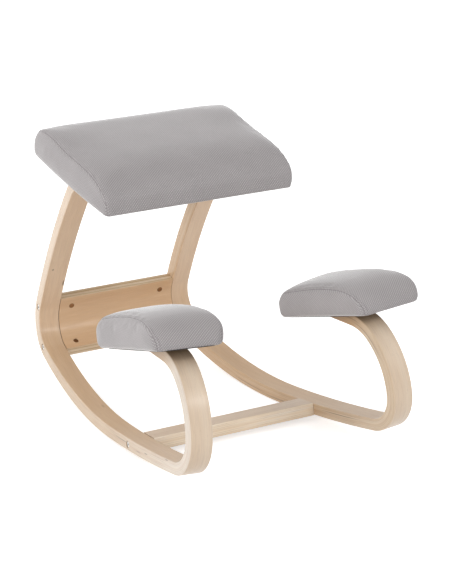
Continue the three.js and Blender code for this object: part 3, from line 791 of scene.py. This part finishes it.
def trim_to_frames(bm):
    """Cuts a strip that lies across the chair off at both inner faces."""
    for side in SIDES.values():
        matrix = side_matrix(side)
        inner = matrix @ Vector((-side * (RIBBON_WIDTH / 2 + FIT_GAP), 0, 0))
        away = (matrix.to_3x3() @ Vector((side, 0, 0))).normalized()
        geom = bm.verts[:] + bm.edges[:] + bm.faces[:]
        bmesh.ops.bisect_plane(bm, geom=geom, plane_co=inner, plane_no=away, clear_outer=True)
        close_ends(bm)


def panel_grain(point):
    along, out = unbend(flattened.inverted() @ point)
    return (along - (PANEL_FROM + PANEL_TO) / 2, point.x, out - PANEL_MIDDLE)


def drill_nuts(piece, names):
    """Drills the blind holes that the barrel nuts sit in."""
    holes = bmesh.new()
    radius = BARREL_NUT / 2 + FIT_GAP
    for name, walk, distance, out, half in CROSS_BOLTS:
        if name not in names:
            continue
        low, high = BARREL_NUT_SINK - half - FIT_GAP, half + NUT_HOLE_RUN_OUT
        for side in SIDES.values():
            shape = lathe([(0, low), (radius, low), (radius, high), (0, high)])
            merge_into(holes, shape, nut_matrix(side, name, walk, distance, out))
    carve(piece, holes)


def make_panel():
    """The panel, spun round the rear bend, trimmed and drilled."""
    bm = rounded_section(PANEL_BLANK, PANEL_THICKNESS, PANEL_EASE, segments=1)
    start, _, outward, heading = station(rear_walk, PANEL_FROM)
    turned = Matrix.Translation(start + outward * PANEL_MIDDLE) @ Matrix.Rotation(heading, 4, "X")
    bmesh.ops.transform(bm, matrix=turned, verts=bm.verts)
    ring = bm.verts[:] + bm.edges[:]
    runner, _, upright = rear_walk[:3]
    for centre, turn in (
        (runner.centre, PANEL_BELOW_BEND / runner.radius),
        (bend.centre, bend.turn),
        (upright.centre, PANEL_ABOVE_BEND / upright.radius),
    ):
        ring = spin_ring(bm, ring, centre, turn, math.ceil(turn / SPIN_STEP))
    close_ends(bm)
    bmesh.ops.transform(bm, matrix=flattened, verts=bm.verts)
    trim_to_frames(bm)
    piece = piece_from("rear_ply_panel", bm)
    drill_nuts(piece, ("rear_panel_upper", "rear_panel_lower"))
    return piece


panel = make_panel()
write_grain(panel, panel_grain, (PANEL_TO - PANEL_FROM) / 2, PANEL_EDGE_BAND)
panel_wood = birch_material(
    "birch plywood, rear panel", PANEL_THICKNESS, 7, PANEL_FACES, PANEL_EDGES, 0.36
)
dress(panel, chair_matrix, panel_wood, "rear_panel")

# %% Crossbar
BAR_BLANK = 500 * MM
BAR_EASE = 3 * MM
BAR_EDGE_BAND = 1 * MM
BAR_FACES = ["CFB79E", "DAC4AD", "E2CFBA"]
BAR_EDGES = ["E8D0B2", "F0DCC2", "F5E7D5"]
bar_point, _, _, bar_heading = station(front_walk, CROSSBAR_FROM_REST)
bar_place = Matrix.Translation(flattened @ bar_point) @ Matrix.Rotation(-bar_heading, 4, "X")


def bar_grain(point):
    local = bar_place.inverted() @ point
    return (local.y, local.x, local.z)


def make_crossbar():
    """The bar, pushed out of its rounded section, trimmed and drilled."""
    bm = rounded_section(CROSSBAR_DEPTH, CROSSBAR_THICKNESS, BAR_EASE)
    bmesh.ops.rotate(bm, matrix=Matrix.Rotation(math.pi / 2, 3, "Z"), verts=bm.verts)
    bmesh.ops.translate(bm, vec=(-BAR_BLANK / 2, 0, 0), verts=bm.verts)
    push_ring(bm, bm.edges[:], (BAR_BLANK, 0, 0))
    close_ends(bm)
    bmesh.ops.transform(bm, matrix=bar_place, verts=bm.verts)
    trim_to_frames(bm)
    piece = piece_from("front_ply_crossbar", bm)
    drill_nuts(piece, ("crossbar",))
    return piece


crossbar = make_crossbar()
write_grain(crossbar, bar_grain, CROSSBAR_DEPTH / 2, BAR_EDGE_BAND)
crossbar_wood = birch_material(
    "birch plywood, crossbar", CROSSBAR_THICKNESS, 9, BAR_FACES, BAR_EDGES, 0.25
)
dress(crossbar, chair_matrix, crossbar_wood, "front_crossbar")

# %% [markdown]
# ## Bolts and barrel nuts
# A furniture bolt is a turned head with a hexagon socket, zinc plated, so it is bright with a soft
# sheen. A barrel nut is a short rod of dull brown steel with a screwdriver slot. Both are only a
# few pixels in the photograph, but their rings of shadow are easy to see.

# %% Metals
SCRATCHES_PER_METRE = 900.0


def plated_steel(name, hex_code, roughness):
    """Plated steel: bright, with fine scratches that vary the gloss."""
    metal, shader, add = start_material(name, Metallic=1.0, Roughness=roughness)
    where = add("TexCoord", output="Object")
    scratches = add("TexNoise", {"Vector": where, "Scale": SCRATCHES_PER_METRE, "Detail": 4.0})
    gloss = add("MapRange", [scratches, *NOISE_RANGE, roughness - 0.08, roughness + 0.12])
    bright = linear(hex_code)
    dull = (*(0.8 * channel for channel in bright[:3]), 1.0)
    tint = add("Mix", {0: scratches, 6: bright, 7: dull}, **COLOUR_MIX)
    bump = add("Bump", {"Height": scratches, "Strength": 0.15, "Distance": 0.1 * MM})
    feed(shader, Base_Color=tint, Roughness=gloss, Normal=bump)
    return metal


zinc = plated_steel("zinc-plated steel", "F2F2F0", 0.35)
bronze = plated_steel("blackened steel", "9C7350", 0.42)
print("metals:", zinc.name, "and", bronze.name)

# %% Fasteners
SOCKET = 4.6 * MM
SOCKET_DEPTH = 2.8 * MM
CHAMFER = 0.6 * MM
SLOT_WIDTH = 1.2 * MM
SLOT_DEPTH = 1.2 * MM
BOARD_BOLT_TIP = -10 * MM


def turned_rod(radius, low, high):
    """The lower end and the side of a rod with a chamfer, as a profile for the lathe."""
    return [(0, low), (radius - CHAMFER, low), (radius, low + CHAMFER), (radius, high)]


def make_bolt(name, head_top, tip, matrix):
    """A bolt with its head up, and a hexagon socket in the head."""
    head, seat = BOLT_HEAD / 2, head_top - BOLT_HEAD_HEIGHT
    rim = [(head, seat), (head, head_top - CHAMFER), (head - CHAMFER, head_top), (0, head_top)]
    piece = piece_from(f"{name}_socket_bolt", lathe(turned_rod(BOLT / 2, tip, seat) + rim))
    socket = bmesh.new()
    bmesh.ops.create_cone(
        socket, cap_ends=True, segments=6, radius1=SOCKET / 2, radius2=SOCKET / 2,
        depth=2 * SOCKET_DEPTH,
    )
    bmesh.ops.translate(socket, vec=(0, 0, head_top), verts=socket.verts)
    carve(piece, socket)
    dress(piece, matrix, zinc, f"{name}_bolt", SMALL_CREASE)


def make_barrel_nut(name, half, matrix):
    """A barrel nut with its slot up."""
    low, high = BARREL_NUT_SINK - half, half - BARREL_NUT_SINK
    radius = BARREL_NUT / 2
    top = [(radius - CHAMFER, high), (0, high)]
    piece = piece_from(f"{name}_cross_dowel", lathe(turned_rod(radius, low, high - CHAMFER) + top))
    slot = bmesh.new()
    bmesh.ops.create_cube(slot, size=1.0)
    bmesh.ops.scale(slot, vec=(2 * BARREL_NUT, SLOT_WIDTH, 2 * SLOT_DEPTH), verts=slot.verts)
    bmesh.ops.translate(slot, vec=(0, 0, high), verts=slot.verts)
    carve(piece, slot)
    dress(piece, matrix, bronze, f"{name}_barrel_nut", SMALL_CREASE)


cross_tip = NUT_PLACE + BARREL_NUT / 2
for side_name, side in SIDES.items():
    place = chair_matrix @ side_matrix(side)
    for name, walk, distance, out, half in CROSS_BOLTS:
        name_here = f"{side_name}_{name}"
        across = place @ cross_matrix(walk, distance, out) @ to_x(side)
        make_bolt(name_here, HEAD_TOP, cross_tip, across)
        nut = chair_matrix @ nut_matrix(side, name, walk, distance, out)
        make_barrel_nut(name_here, half, nut)
    for name, matrix, head_top in board_bolts(side):
        make_bolt(f"{side_name}_{name}", head_top, BOARD_BOLT_TIP, place @ matrix)

# %% [markdown]
# ## Woven upholstery
# The cover is a heavy fabric in a twill: each yarn steps over its neighbours, so fine ribs run
# across the cloth at a slant. Its yarns are a mix of light and mid grey fibres, and the loose ends
# of the fibres catch light at a shallow angle, which is what sheen gives; a painted sheen lightens
# the colour there too. The ribs are drawn a little coarser than real ones, because they would
# vanish in the picture otherwise. The pattern reads the piece's own UV map, which is measured in
# metres of cloth.

# %% Fabric material
RIB_PITCH = 3.4 * MM
RIB_SLANT = 52  # degrees
WAVE_UNIT = math.tau / 20  # a wave texture's own period at a scale of 1
MELANGE, PATCHES = 1.3 * MM, 60 * MM
STITCH_PITCH = 5 * MM
# the band of painted shade beside each seam lies this far from it
FOLD_AWAY = 4.5 * MM  # from the seam to the edge of the cloth that is folded in under it
# the pale grey of a painted sheen at grazing angles, and the dark grey of painted shade along the
# seams
SHEEN_PAINT_GREY, SEAM_SHADE_GREY = "E2DFDF", "6E6869"


def fabric_material(name, dark_hex, light_hex):
    """Twill in two greys, painted shade along the seams that its attribute places, painted sheen.
    """
    cloth, shader, add = start_material(
        name, Roughness=0.92, Sheen_Weight=1.0, Sheen_Roughness=0.32, Specular_IOR_Level=0.25
    )
    uv = add("UVMap", uv_map="cloth")
    ribs = []
    for angle, pitch in ((RIB_SLANT, RIB_PITCH), (RIB_SLANT - 90, RIB_PITCH * 0.9)):
        turned = add("Mapping", {"Vector": uv, "Rotation": (0, 0, math.radians(angle))})
        wave = {"Vector": turned, "Scale": WAVE_UNIT / pitch, "Distortion": 0.6}
        ribs.append(add("TexWave", {**wave, "Detail": 1.0, "Detail Scale": 0.5}, "Fac"))
    melange, patches = [
        add("TexNoise", {"Vector": uv, "Scale": 1 / size, "Detail": 2.0})
        for size in (MELANGE, PATCHES)
    ]
    dots = add("Math", [*ribs], operation="MULTIPLY")
    dots = add("Math", [dots, 0.75], operation="MULTIPLY")
    weave = add("Math", [ribs[0], 0.25, dots], operation="MULTIPLY_ADD")
    tone = add("Math", [melange, 0.35], operation="MULTIPLY")
    tone = add("Math", [weave, 0.65, tone], operation="MULTIPLY_ADD")
    colour = add("Mix", {0: tone, 6: dark_hex, 7: light_hex}, **COLOUR_MIX)
    drift = add("MapRange", [patches, *NOISE_RANGE, 0.96, 1.03])
    colour = add("Mix", {0: 1.0, 6: colour, 7: drift}, **MULTIPLIED)

    # painted sheen: the colour lightens towards a pale grey where the eye only grazes the pile
    facing = add("LayerWeight", {"Blend": 0.5}, "Facing")
    painted_sheen = add("MapRange", [facing, 0.6, 0.95, 0.0, 0.3])
    colour = add("Mix", {0: painted_sheen, 6: colour, 7: SHEEN_PAINT_GREY}, **COLOUR_MIX)

    # painted shade: the seam's groove is a thin dark line, broken by the dots of its stitches,
    # and a shaded band runs beside it on the top panel, over the cloth folded in under it
    seam = add("Attribute", output="Vector", attribute_name="seam")
    off, along, _ = add("SeparateXYZ", [seam]).node.outputs
    gap = add("Math", [off], operation="ABSOLUTE")
    near = add("MapRange", [gap, 0.3 * MM, 1.4 * MM, 1.0, 0.0])
    fold_shade = add("Math", [off, FOLD_AWAY], operation="SUBTRACT")
    fold_shade = add("Math", [fold_shade], operation="ABSOLUTE")
    fold_shade = add("MapRange", [fold_shade, 0.3 * MM, 2.2 * MM, 0.5, 0.0])
    patchy = add("MapRange", [patches, 0.4, 0.6, 0.2, 1.0])
    fold_shade = add("Math", [fold_shade, patchy], operation="MULTIPLY")
    near = add("Math", [near, fold_shade], operation="MAXIMUM")
    stitch = add("Math", [along, math.tau / STITCH_PITCH], operation="MULTIPLY")
    stitch = add("Math", [stitch], operation="SINE")
    stitch = add("Math", [stitch, 0.2, 0.55], operation="MULTIPLY_ADD")
    near = add("Math", [near, stitch], operation="MULTIPLY")
    colour = add("Mix", {0: near, 6: colour, 7: SEAM_SHADE_GREY}, **COLOUR_MIX)

    height = add("Math", [melange, 0.3, weave], operation="MULTIPLY_ADD")
    bump = add("Bump", {"Height": height, "Strength": 0.35, "Distance": 0.7 * MM})
    feed(shader, Base_Color=colour, Normal=bump)
    return cloth


grey_twill = fabric_material("grey twill upholstery", "8A8485", "CECACA")
print(grey_twill.name, "has a rib every", RIB_PITCH / MM, "mm")

# %% [markdown]
# ## Padded covers
# Each pad is a block of foam in a sewn cover: a top panel that runs down the front like a
# waterfall, and two side panels, joined by a seam along each top edge. Its side outline is drawn
# once, pushed out across the pad and crowned. Then a cloth simulation blows it up by up to a
# millimetre, which gives the soft swell between the seams that foam has. The underside is held
# still, because it is stapled to its board, and along its edge the cover hangs a little below the
# board. The seams are pressed in afterwards, since remeshing would have removed them.

# %% Pad outlines
CLOTH_THICKNESS = 1 * MM
BOARD_BOTTOM = 2 * FIT_GAP + CLOTH_THICKNESS
CURVE_POINTS = 10
HEEL_STRIDE = 3  # a small curve needs only every third of its points
EAR_PLACE = 0.78  # where, along a pad, its rear corners stand highest
EAR_SPREAD = 0.17

# crown, droop and ears are heights, corner, foot and round are radii, and the plain numbers are
# shares of the pad's length or height, but for power, which says how level the crown's middle is
SEAT_PAD = SimpleNamespace(
    width=387.96 * MM, length=300 * MM, height=55 * MM, crown=8 * MM, power=6, round=4 * MM,
    swell=2.8 * MM, front_wall=0.13, pull=0.65, reach=0.149, peak=0.386, rear_drop=0.04,
    rear_round=0.16, voxel=5 * MM, droop=8 * MM, corner=6 * MM, foot=8 * MM,
    pull_in=-3 * MM, ears=7 * MM,
)
KNEE_PAD = SimpleNamespace(
    width=128 * MM, length=258 * MM, height=60 * MM, crown=6 * MM, power=3, round=6 * MM,
    swell=6 * MM, front_wall=0.16, pull=0.67, reach=0.145, peak=0.515, rear_drop=0.055,
    rear_round=0.16, voxel=4 * MM, droop=2 * MM, corner=10 * MM, foot=10 * MM,
    pull_in=3 * MM, ears=0,
)


def clamp(value, low=0.0, high=1.0):
    return max(low, min(value, high))


def side_outline(pad):
    """The pad's side outline in Y and Z, from the front's foot over the top to the rear's foot."""
    length, height = pad.length, pad.height
    front_wall = height * pad.front_wall
    rear_top = height * (1 - pad.rear_drop)
    rear_round = length * pad.rear_round

    def at(y, z):
        return Vector((0, y, z))

    def quadratic(start, control, end):
        """A quadratic curve, as the cubic one that is the same."""
        first, second = start.lerp(control, 2 / 3), end.lerp(control, 2 / 3)
        return geometry.interpolate_bezier(start, first, second, end, CURVE_POINTS)

    top = at(length * pad.peak, height)
    bend_start = at(length - rear_round, rear_top)
    bend_end = at(length, max(rear_top - rear_round, pad.round))
    pulled = at(0, front_wall + (height - front_wall) * pad.pull)
    rise = geometry.interpolate_bezier(
        at(0, front_wall), pulled, at(length * pad.reach, height), top, 2 * CURVE_POINTS
    )
    back = quadratic(top, at((bend_start.y + top.y) / 2, height), bend_start)
    drop = quadratic(bend_start, at(length, rear_top), bend_end)
    heel = quadratic(at(length, pad.foot), at(length, 0), at(length - pad.foot, 0))
    return [at(0, 0), *rise, *back[1:], *drop[1:], *heel[::HEEL_STRIDE]]


def nearest_on(outline, lengths, y, z):
    """The distance to an outline's nearest point, and how far along it that point is."""
    best = (math.inf, 0.0)
    for i in range(len(outline) - 1):
        ay, az = outline[i].y, outline[i].z
        dy, dz = outline[i + 1].y - ay, outline[i + 1].z - az
        size = dy * dy + dz * dz
        share = clamp(((y - ay) * dy + (z - az) * dz) / size) if size else 0.0
        gap = math.hypot(y - ay - share * dy, z - az - share * dz)
        if gap < best[0]:
            best = (gap, lengths[i] + share * math.sqrt(size))
    return best


print("seat outline has", len(side_outline(SEAT_PAD)), "points")

# %% Pad shape
SHARP = math.radians(50)


def pad_bmesh(pad):
    """The pad's side outline drawn across, with every edge rounded."""
    bm = bmesh.new()
    bm.faces.new([bm.verts.new(point) for point in side_outline(pad)])
    bmesh.ops.remove_doubles(bm, verts=bm.verts, dist=0.1 * MM)
    bmesh.ops.translate(bm, vec=(-pad.width / 2, 0, 0), verts=bm.verts)
    extruded = bmesh.ops.extrude_face_region(bm, geom=bm.faces[:])["geom"]
    moved = [g for g in extruded if isinstance(g, bmesh.types.BMVert)]
    bmesh.ops.translate(bm, vec=(pad.width, 0, 0), verts=moved)
    bmesh.ops.recalc_face_normals(bm, faces=bm.faces)
    sharp = [e for e in bm.edges if e.calc_face_angle(0.0) > SHARP]
    bmesh.ops.bevel(
        bm, geom=sharp, offset=pad.round, segments=4, affect="EDGES", profile=0.5, material=-1,
        offset_type="OFFSET", clamp_overlap=True,
    )
    bmesh.ops.triangulate(bm, faces=bm.faces[:])
    return bm


def crown_scale(pad, x, y, slope):
    """How much higher than its outline a pad is: crowned, and full near its rear corners."""
    across = clamp(2 * x / pad.width, -1.0)
    lift = pad.crown * (1 - abs(across) ** pad.power)
    rearwards = (y / pad.length - EAR_PLACE) / EAR_SPREAD
    lift += pad.ears * abs(across) ** 3 * math.exp(-rearwards * rearwards)
    return (1 + lift / pad.height) * (1 + slope * across)


def corner_loss(distance, radius):
    """What a round front corner takes off a side, so far behind the pad's front."""
    short = clamp(radius - distance, 0.0, radius)
    return radius - math.sqrt(radius * radius - short * short)


def side_of(pad, y, z):
    """Half the pad's width: least midway between its corners, and most at half its height."""
    along = 2 * y / pad.length - 1
    lost = corner_loss(y, pad.corner)
    up = clamp(z / pad.height)
    swell = pad.swell * 4 * up * (1 - up) * math.sqrt(max(0.0, 1 - along**8))
    return pad.width / 2 - pad.pull_in * (1 - along * along) + swell - lost


def shape_pad(piece, pad, slope):
    """Crowns the top and draws the sides in between the corners."""
    for vertex in piece.data.vertices:
        x, y, z = vertex.co
        vertex.co.x = x * side_of(pad, y, z) / (pad.width / 2)
        vertex.co.z = z * crown_scale(pad, x, y, slope)


def stretch_to(piece, low, high):
    """Stretches a piece until its box is the wanted one."""
    now_low, now_high = mesh_box([vertex.co for vertex in piece.data.vertices])
    for vertex in piece.data.vertices:
        for i in range(3):
            share = (vertex.co[i] - now_low[i]) / (now_high[i] - now_low[i])
            vertex.co[i] = low[i] + share * (high[i] - low[i])


print("the seat crowns by", SEAT_PAD.crown / MM, "mm")

# %% Cloth simulation
SIM_FRAMES = 20
SWELL_CAP = 1 * MM
HELD_HEIGHT = 3 * MM  # what lies lower than this belongs to the underside
CLOTH_SETTINGS = dict(
    use_pressure=True, uniform_pressure_force=4, vertex_group_mass="held", tension_stiffness=20,
    compression_stiffness=20, bending_stiffness=2,
)


def inflate(piece, cap):
    """Blows a closed pad up under cloth pressure, and lets no point move further than a cap."""
    before = [v.co.copy() for v in piece.data.vertices]
    held = piece.vertex_groups.new(name="held")
    held.add([v.index for v in piece.data.vertices if v.co.z < HELD_HEIGHT], 1.0, "REPLACE")
    cloth = add_modifier(piece, "CLOTH")
    for name, value in CLOTH_SETTINGS.items():
        setattr(cloth.settings, name, value)
    cloth.settings.effector_weights.gravity = 0
    cloth.point_cache.frame_start = 1
    cloth.point_cache.frame_end = SIM_FRAMES
    scene = bpy.context.scene
    for number in range(1, SIM_FRAMES + 1):
        scene.frame_set(number)
    keep_evaluated(piece)
    scene.frame_set(1)
    for vertex, start in zip(piece.data.vertices, before):
        step = vertex.co - start
        if step.length > cap:
            vertex.co = start + step * (cap / step.length)
        vertex.co.z = max(vertex.co.z, 0.0)


print("each pad swells for", SIM_FRAMES, "frames, by", SWELL_CAP / MM, "mm at most")

# %% Seams and cloth coordinates
SEAM_DEPTH = 1.3 * MM
SEAM_HALF_WIDTH = 2.2 * MM
SEAM_LOWEST = 4 * MM
PUCKER_HEIGHT = 0.8 * MM
PUCKER_FROM_SEAM = 5 * MM
PUCKER_SPREAD = 6 * MM
PUCKERS_ALONG, PUCKERS_ACROSS = 70, 160  # ripples in a metre
SIDE_CLOTH = 0.37  # keeps the side panels' part of the cloth away from the top's
RIM_WIDTH = 14 * MM
RIM_HEIGHT = 25 * MM


def droop_rim(mesh, pad):
    """Lets the cover hang a little below its board along the pad's edge."""
    for vertex in mesh.vertices:
        x, y, z = vertex.co
        inwards = min(pad.width / 2 - abs(x), y, pad.length - y)
        near, low = clamp(1 - inwards / RIM_WIDTH), clamp(1 - z / RIM_HEIGHT)
        vertex.co.z -= pad.droop * near * near * (3 - 2 * near) * low


def seam_places(mesh, pad, slope):
    """For each point: how far it is off its seam, how far along, and on which side of the pad."""
    outline = side_outline(pad)
    lengths = [0.0]
    for a, b in zip(outline, outline[1:]):
        lengths.append(lengths[-1] + (b - a).length)
    places = []
    for vertex in mesh.vertices:
        x, y, z = vertex.co
        flat = z / crown_scale(pad, x, y, slope)
        under, along = nearest_on(outline, lengths, y, flat)
        # positive on the top panel and negative on a side panel, from the seam between them
        off = side_of(pad, y, flat) - abs(x) - under
        places.append((off, along, math.copysign(1.0, x)))
    return places


def press_seams(mesh, pad, places):
    """Presses the seams in, and puckers the cloth beside them."""
    normals = [vertex.normal.copy() for vertex in mesh.vertices]
    for vertex, normal, (off, along, side) in zip(mesh.vertices, normals, places):
        if vertex.co.z < SEAM_LOWEST:
            continue
        groove = math.exp(-((off / SEAM_HALF_WIDTH) ** 2))
        own = side * 7 + pad.length * 10  # so that no two seams ripple alike
        ripple = noise.noise(Vector((along * PUCKERS_ALONG, off * PUCKERS_ACROSS, own)))
        pucker = math.exp(-(((off - PUCKER_FROM_SEAM) / PUCKER_SPREAD) ** 2)) * ripple
        vertex.co += normal * (PUCKER_HEIGHT * pucker - SEAM_DEPTH * groove)


def lay_cloth(mesh, places):
    """Writes the seam attribute and the UV map that the fabric reads."""
    write_vectors(mesh, "seam", places)
    uv = mesh.uv_layers.new(name="cloth")
    for polygon in mesh.polygons:
        on_side = sum(places[i][0] for i in polygon.vertices) < 0
        below = all(mesh.vertices[i].co.z < HELD_HEIGHT for i in polygon.vertices)
        for corner, index in zip(polygon.loop_indices, polygon.vertices):
            co = mesh.vertices[index].co
            if below:
                uv.data[corner].uv = (co.x, co.y)
            elif on_side:
                uv.data[corner].uv = (co.y + SIDE_CLOTH, co.z)
            else:
                uv.data[corner].uv = (co.x, places[index][1])


print("seams are pressed in by", SEAM_DEPTH / MM, "mm")

# %% Pads
SEAT_FRONT_OVERHANG = 50 * MM
SEAT_LEFTWARDS = 4 * MM
KNEE_FRONT_OVERHANG = 90 * MM
KNEE_OUTSET = 6 * MM
# no two upholstered pads come out alike: how far rearwards each sits, how much its top slopes,
# and how plump it is
KNEE_HABITS = {"left": (6 * MM, 0.05, 1.03), "right": (-4 * MM, 0.08, 0.96)}


def make_pad(name, pad, slope, matrix, cushion_nodes):
    """One pad, from its outline to its finished cover."""
    piece = piece_from(name, pad_bmesh(pad))
    add_modifier(piece, "REMESH", mode="VOXEL", voxel_size=pad.voxel)
    keep_evaluated(piece)
    shape_pad(piece, pad, slope)
    box = mesh_box([vertex.co.copy() for vertex in piece.data.vertices])
    inflate(piece, SWELL_CAP)
    add_modifier(piece, "SMOOTH", factor=0.5, iterations=2)
    add_modifier(piece, "SUBSURF", levels=1, render_levels=1)
    keep_evaluated(piece)
    stretch_to(piece, *box)
    mesh = piece.data
    places = seam_places(mesh, pad, slope)
    press_seams(mesh, pad, places)
    lay_cloth(mesh, places)
    droop_rim(mesh, pad)
    mesh.transform(matrix)
    mesh.shade_smooth()
    mesh.materials.append(grey_twill)
    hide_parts(*cushion_nodes)
    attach(piece, "root")
    print(name, len(mesh.vertices), "vertices")


seat_place = chair_matrix @ seat_plane @ Matrix.Translation(
    (-SEAT_LEFTWARDS, -SEAT_FRONT_OVERHANG, BOARD_BOTTOM)
)
make_pad("seat_pad", SEAT_PAD, 0.0, seat_place, ["seat_fabric_cover", "seat_foam"])
for name, side in SIDES.items():
    rearwards, slope, plumpness = KNEE_HABITS[name]
    pad = SimpleNamespace(**{**vars(KNEE_PAD), "height": KNEE_PAD.height * plumpness})
    offset = (side * KNEE_OUTSET, rearwards - KNEE_FRONT_OVERHANG, BOARD_BOTTOM)
    place = chair_matrix @ side_matrix(side) @ knee_plane @ Matrix.Translation(offset)
    make_pad(
        f"{name}_knee_pad", pad, slope, place,
        [f"{name}_knee_fabric_cover", f"{name}_knee_foam"],
    )

# %% [markdown]
# ## What lies underneath
# The boards are plain birch plywood, and a thin black cloth closes the underside. It is bonded
# fibre, not woven, so it is matt and faintly mottled. Their shapes stay the packed model's own.

# %% Materials of the kept nodes
CLOTH_CELLS_PER_METRE = 450.0
BOARD_FIBRES_PER_METRE = (300, 12, 300)


def nonwoven_material():
    """Bonded black fibre."""
    cloth, shader, add = start_material("black nonwoven cloth", Roughness=0.95, Sheen_Weight=0.2)
    cells = {"Vector": add("TexCoord", output="Object"), "Scale": CLOTH_CELLS_PER_METRE}
    fibres = add("TexVoronoi", cells, "Distance", feature="DISTANCE_TO_EDGE")
    colour = add("Mix", {0: fibres, 6: "3A393B", 7: "262527"}, **COLOUR_MIX)
    bump = add("Bump", {"Height": fibres, "Strength": 0.4, "Distance": 0.3 * MM})
    feed(shader, Base_Color=colour, Normal=bump)
    return cloth


def board_material():
    """Bare plywood, whose fibres run along Y."""
    ply, shader, add = start_material("birch plywood, boards", Roughness=0.6)
    where = add("TexCoord", output="Object")
    stretched = add("Mapping", {"Vector": where, "Scale": BOARD_FIBRES_PER_METRE})
    fibres = add("TexNoise", {"Vector": stretched, "Scale": 1.0})
    colour = add("Mix", {0: fibres, 6: "B58F66", 7: "DCC4A0"}, **COLOUR_MIX)
    feed(shader, Base_Color=colour)
    return ply


kept_materials = {
    "_underside_cloth": nonwoven_material(),
    "_board": board_material(),
    "_tee_nut": zinc,
}
for node_name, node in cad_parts.items():
    for ending, material in kept_materials.items():
        if node_name.endswith(ending):
            node.data.materials.clear()
            node.data.materials.append(material)
            print(node_name, "is", material.name)

# %% [markdown]
# ## Floor and light
# The chair stands on a plain white floor in soft studio light. The floor glows just enough in the
# camera's eye to meet the white background, so that only the chair's own soft shadow shows on it.

# %% Floor and world
FLOOR_HALF_SIZE = 6.0
FLOOR_GREY = (0.85, 0.85, 0.85, 1.0)
FLOOR_GLOW = 0.6
WORLD_LIGHT = 0.45
# how far towards white the world is for a mirror; lower keeps the gloss from clipping to white
MIRRORED_WORLD = 0.4
WHITE = (1, 1, 1, 1)


def highest(add, best, *others):
    """The highest of some sockets."""
    for other in others:
        best = add("Math", [best, other], operation="MAXIMUM")
    return best


def make_floor():
    """A wide floor that glows for the rays that see the background."""
    bm = bmesh.new()
    bmesh.ops.create_grid(bm, x_segments=1, y_segments=1, size=FLOOR_HALF_SIZE)
    floor = piece_from("studio_floor", bm)
    white, shader, add = start_material(
        "white studio floor", Roughness=0.9, Specular_IOR_Level=0.0, Base_Color=FLOOR_GREY,
        Emission_Color=WHITE,
    )
    seen = add("LightPath").node.outputs
    rays = [seen[f"Is {kind} Ray"] for kind in ("Camera", "Glossy", "Transmission")]
    glow = add("Math", [highest(add, *rays), FLOOR_GLOW], operation="MULTIPLY")
    feed(shader, Emission_Strength=glow)
    floor.data.materials.append(white)


def make_world():
    """A world that lights the chair softly and is white for the rays that see it."""
    world = bpy.data.worlds.new("white studio")
    world.use_nodes = True
    bpy.context.scene.world = world
    background = world.node_tree.nodes["Background"]
    background.inputs["Color"].default_value = WHITE
    add = partial(add_node, world)
    seen = add("LightPath").node.outputs
    mirrored = add("Math", [seen["Is Glossy Ray"], MIRRORED_WORLD], operation="MULTIPLY")
    white = highest(add, seen["Is Camera Ray"], mirrored, seen["Is Transmission Ray"])
    feed(background, Strength=add("MapRange", [white, 0.0, 1.0, WORLD_LIGHT, 1.0]))


make_floor()
make_world()
print("the world lights at", WORLD_LIGHT)

# %% [markdown]
# ## Soft boxes
# Wide boxes of light stand round the chair, one strong and the others weak, so that each side of
# the wood has its own tone and no edge is hard. The strong one lights but isn't mirrored, because
# the lacquer would clip to white where it is seen from the opposite side.

# %% Lamps
AIM = Vector((0, 0, 0.25))
SOFTBOXES = [  # name, place, width, height and power, and whether gloss shows it
    ("window_side_softbox", (-5.2, -1.0, 2.5), 2.9, 2.9, 160, False),
    ("rear_softbox", (-0.4, 2.9, 1.9), 2.0, 2.0, 40, True),
    ("right_hand_softbox", (3.0, -0.6, 1.4), 1.8, 1.8, 13, True),
    ("front_strip_box", (1.1, -2.4, 2.0), 1.0, 0.45, 15, True),
    ("low_front_softbox", (-0.4, -4.2, 0.8), 2.0, 1.2, 14, True),
]

for name, place, width, height, power, mirrored in SOFTBOXES:
    light = bpy.data.lights.new(name, "AREA")
    light.shape = "RECTANGLE"
    light.size, light.size_y, light.energy = width, height, power
    lamp = bpy.data.objects.new(name, light)
    bpy.context.scene.collection.objects.link(lamp)
    lamp.location = place
    lamp.visible_glossy = mirrored
    lamp.rotation_euler = (AIM - Vector(place)).to_track_quat("-Z", "Y").to_euler()
print("soft boxes:", len(SOFTBOXES))
